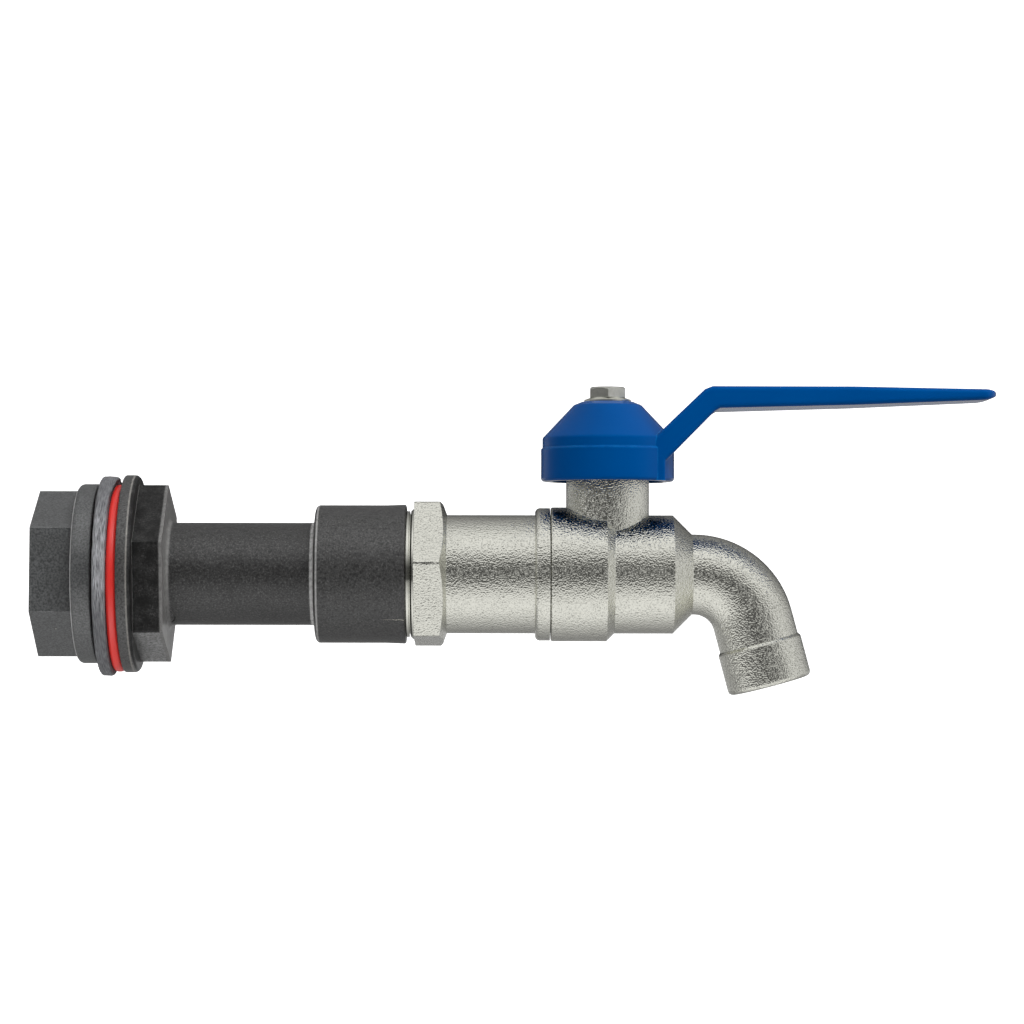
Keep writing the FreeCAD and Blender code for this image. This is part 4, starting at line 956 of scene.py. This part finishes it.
def stage_sphere(name, radius, material):
    """A sphere round the object."""
    bpy.ops.mesh.primitive_uv_sphere_add(
        segments=SPHERE_SEGMENTS, ring_count=SPHERE_RINGS, radius=radius, location=STAGE_CENTRE)
    sphere = bpy.context.object
    sphere.name = name
    sphere.data.materials.append(material)
    return sphere


def make_surround():
    """Pale surround that only the camera sees, for views from the other sides."""
    look = Look("pale_surround")
    look.glow()
    surround = stage_sphere("surround", SURROUND_RADIUS, look.material)
    leave_out(surround, "visible_glossy", "visible_diffuse", "visible_shadow", "visible_transmission")


def make_tent():
    """A round light tent that only reflections see: dark ahead, bright above and below, grey behind."""
    look = Look("tent")
    aim = look.add("ShaderNodeVectorMath", operation="NORMALIZE")
    look.link(look.place, aim.inputs[0])
    along, across, up = look.parts(aim.outputs[0])
    ahead = look.times(across, -1.0)
    aside = look.math("ABSOLUTE", along)
    upright = look.math("ABSOLUTE", look.math("ARCTAN2", up, ahead))
    above = look.math("GREATER_THAN", up, 0.0)
    ends = look.blend(above, look.ramp(upright, TENT_UNDER), look.ramp(upright, TENT_OVER))
    sideways = look.math("ARCTAN2", aside, ahead)
    to_right = look.math("GREATER_THAN", along, 0.0)
    sides = look.blend(to_right, look.ramp(sideways, TENT_LEFT), look.ramp(sideways, TENT_RIGHT))
    wide = look.spread(aside, TENT_SIDES_FROM, TENT_SIDES_FULL, smooth=True)
    tall = look.math("ABSOLUTE", up)
    level = look.spread(tall, TENT_SIDES_LOW, TENT_SIDES_HIGH, 1.0, 0.0, smooth=True)
    look.glow(look.blend(look.times(wide, level), ends, sides))
    tent = stage_sphere("light_tent", TENT_RADIUS, look.material)
    leave_out(tent, "visible_camera", "visible_diffuse", "visible_shadow", "visible_transmission")


def make_light(name, place, aim, size, power):
    """A soft rectangular lamp for the diffuse light, left out of reflections."""
    lamp = bpy.data.lights.new(name, "AREA")
    lamp.shape = "RECTANGLE"
    lamp.size, lamp.size_y = size
    lamp.energy = power
    light = bpy.data.objects.new(name, lamp)
    light.location = place
    light.rotation_euler = (Vector(aim) - Vector(place)).to_track_quat("-Z", "Y").to_euler()
    leave_out(light, "visible_camera", "visible_glossy")
    bpy.context.scene.collection.objects.link(light)


def make_world():
    """Soft light from all round, stronger from above."""
    world = bpy.data.worlds.new("studio")
    world.use_nodes = True
    tree = world.node_tree
    split = tree.nodes.new("ShaderNodeSeparateXYZ")
    tree.links.new(tree.nodes.new("ShaderNodeTexCoord").outputs["Generated"], split.inputs[0])
    height = tree.nodes.new("ShaderNodeMapRange")
    tree.links.new(split.outputs["Z"], height.inputs["Value"])
    ends = {"From Min": -WORLD_SOFT, "From Max": WORLD_SOFT, "To Min": WORLD_BELOW, "To Max": WORLD_ABOVE}
    for label, number in ends.items():
        height.inputs[label].default_value = number
    background = tree.nodes["Background"]
    background.inputs["Color"].default_value = (*WHITE, 1)
    tree.links.new(height.outputs["Result"], background.inputs["Strength"])
    bpy.context.scene.world = world


def make_camera():
    """The photograph's view."""
    centre = PHOTO_SIDE / 2
    across = (centre - PHOTO_ORIGIN[0]) / PHOTO_SCALE
    height = (PHOTO_ORIGIN[1] - PHOTO_HORIZON) / PHOTO_SCALE
    focal = PHOTO_SCALE * CAMERA_DISTANCE
    lift = math.atan((PHOTO_HORIZON - centre) / focal)
    data = bpy.data.cameras.new("camera")
    data.sensor_fit = "HORIZONTAL"
    data.sensor_width = SENSOR_MM
    data.lens = SENSOR_MM * focal / PHOTO_SIDE
    data.clip_start = CAMERA_NEAR
    camera = bpy.data.objects.new("camera", data)
    camera.location = (across, -CAMERA_DISTANCE, height)
    upright = Euler((math.pi / 2 + lift, 0, 0)).to_matrix()
    camera.rotation_euler = (upright @ Matrix.Rotation(PHOTO_ROLL, 3, "Z")).to_euler()
    bpy.context.scene.collection.objects.link(camera)
    bpy.context.scene.camera = camera


looks = paint_nodes()
make_connector()
make_backnut()
make_flash()
make_rubber_washer()
make_red_washer()
make_nose_fillet()
make_backdrop()
make_surround()
make_tent()
for lamp in LAMPS:
    make_light(*lamp)
make_world()
make_camera()
bpy.context.scene.view_settings.view_transform = "Standard"
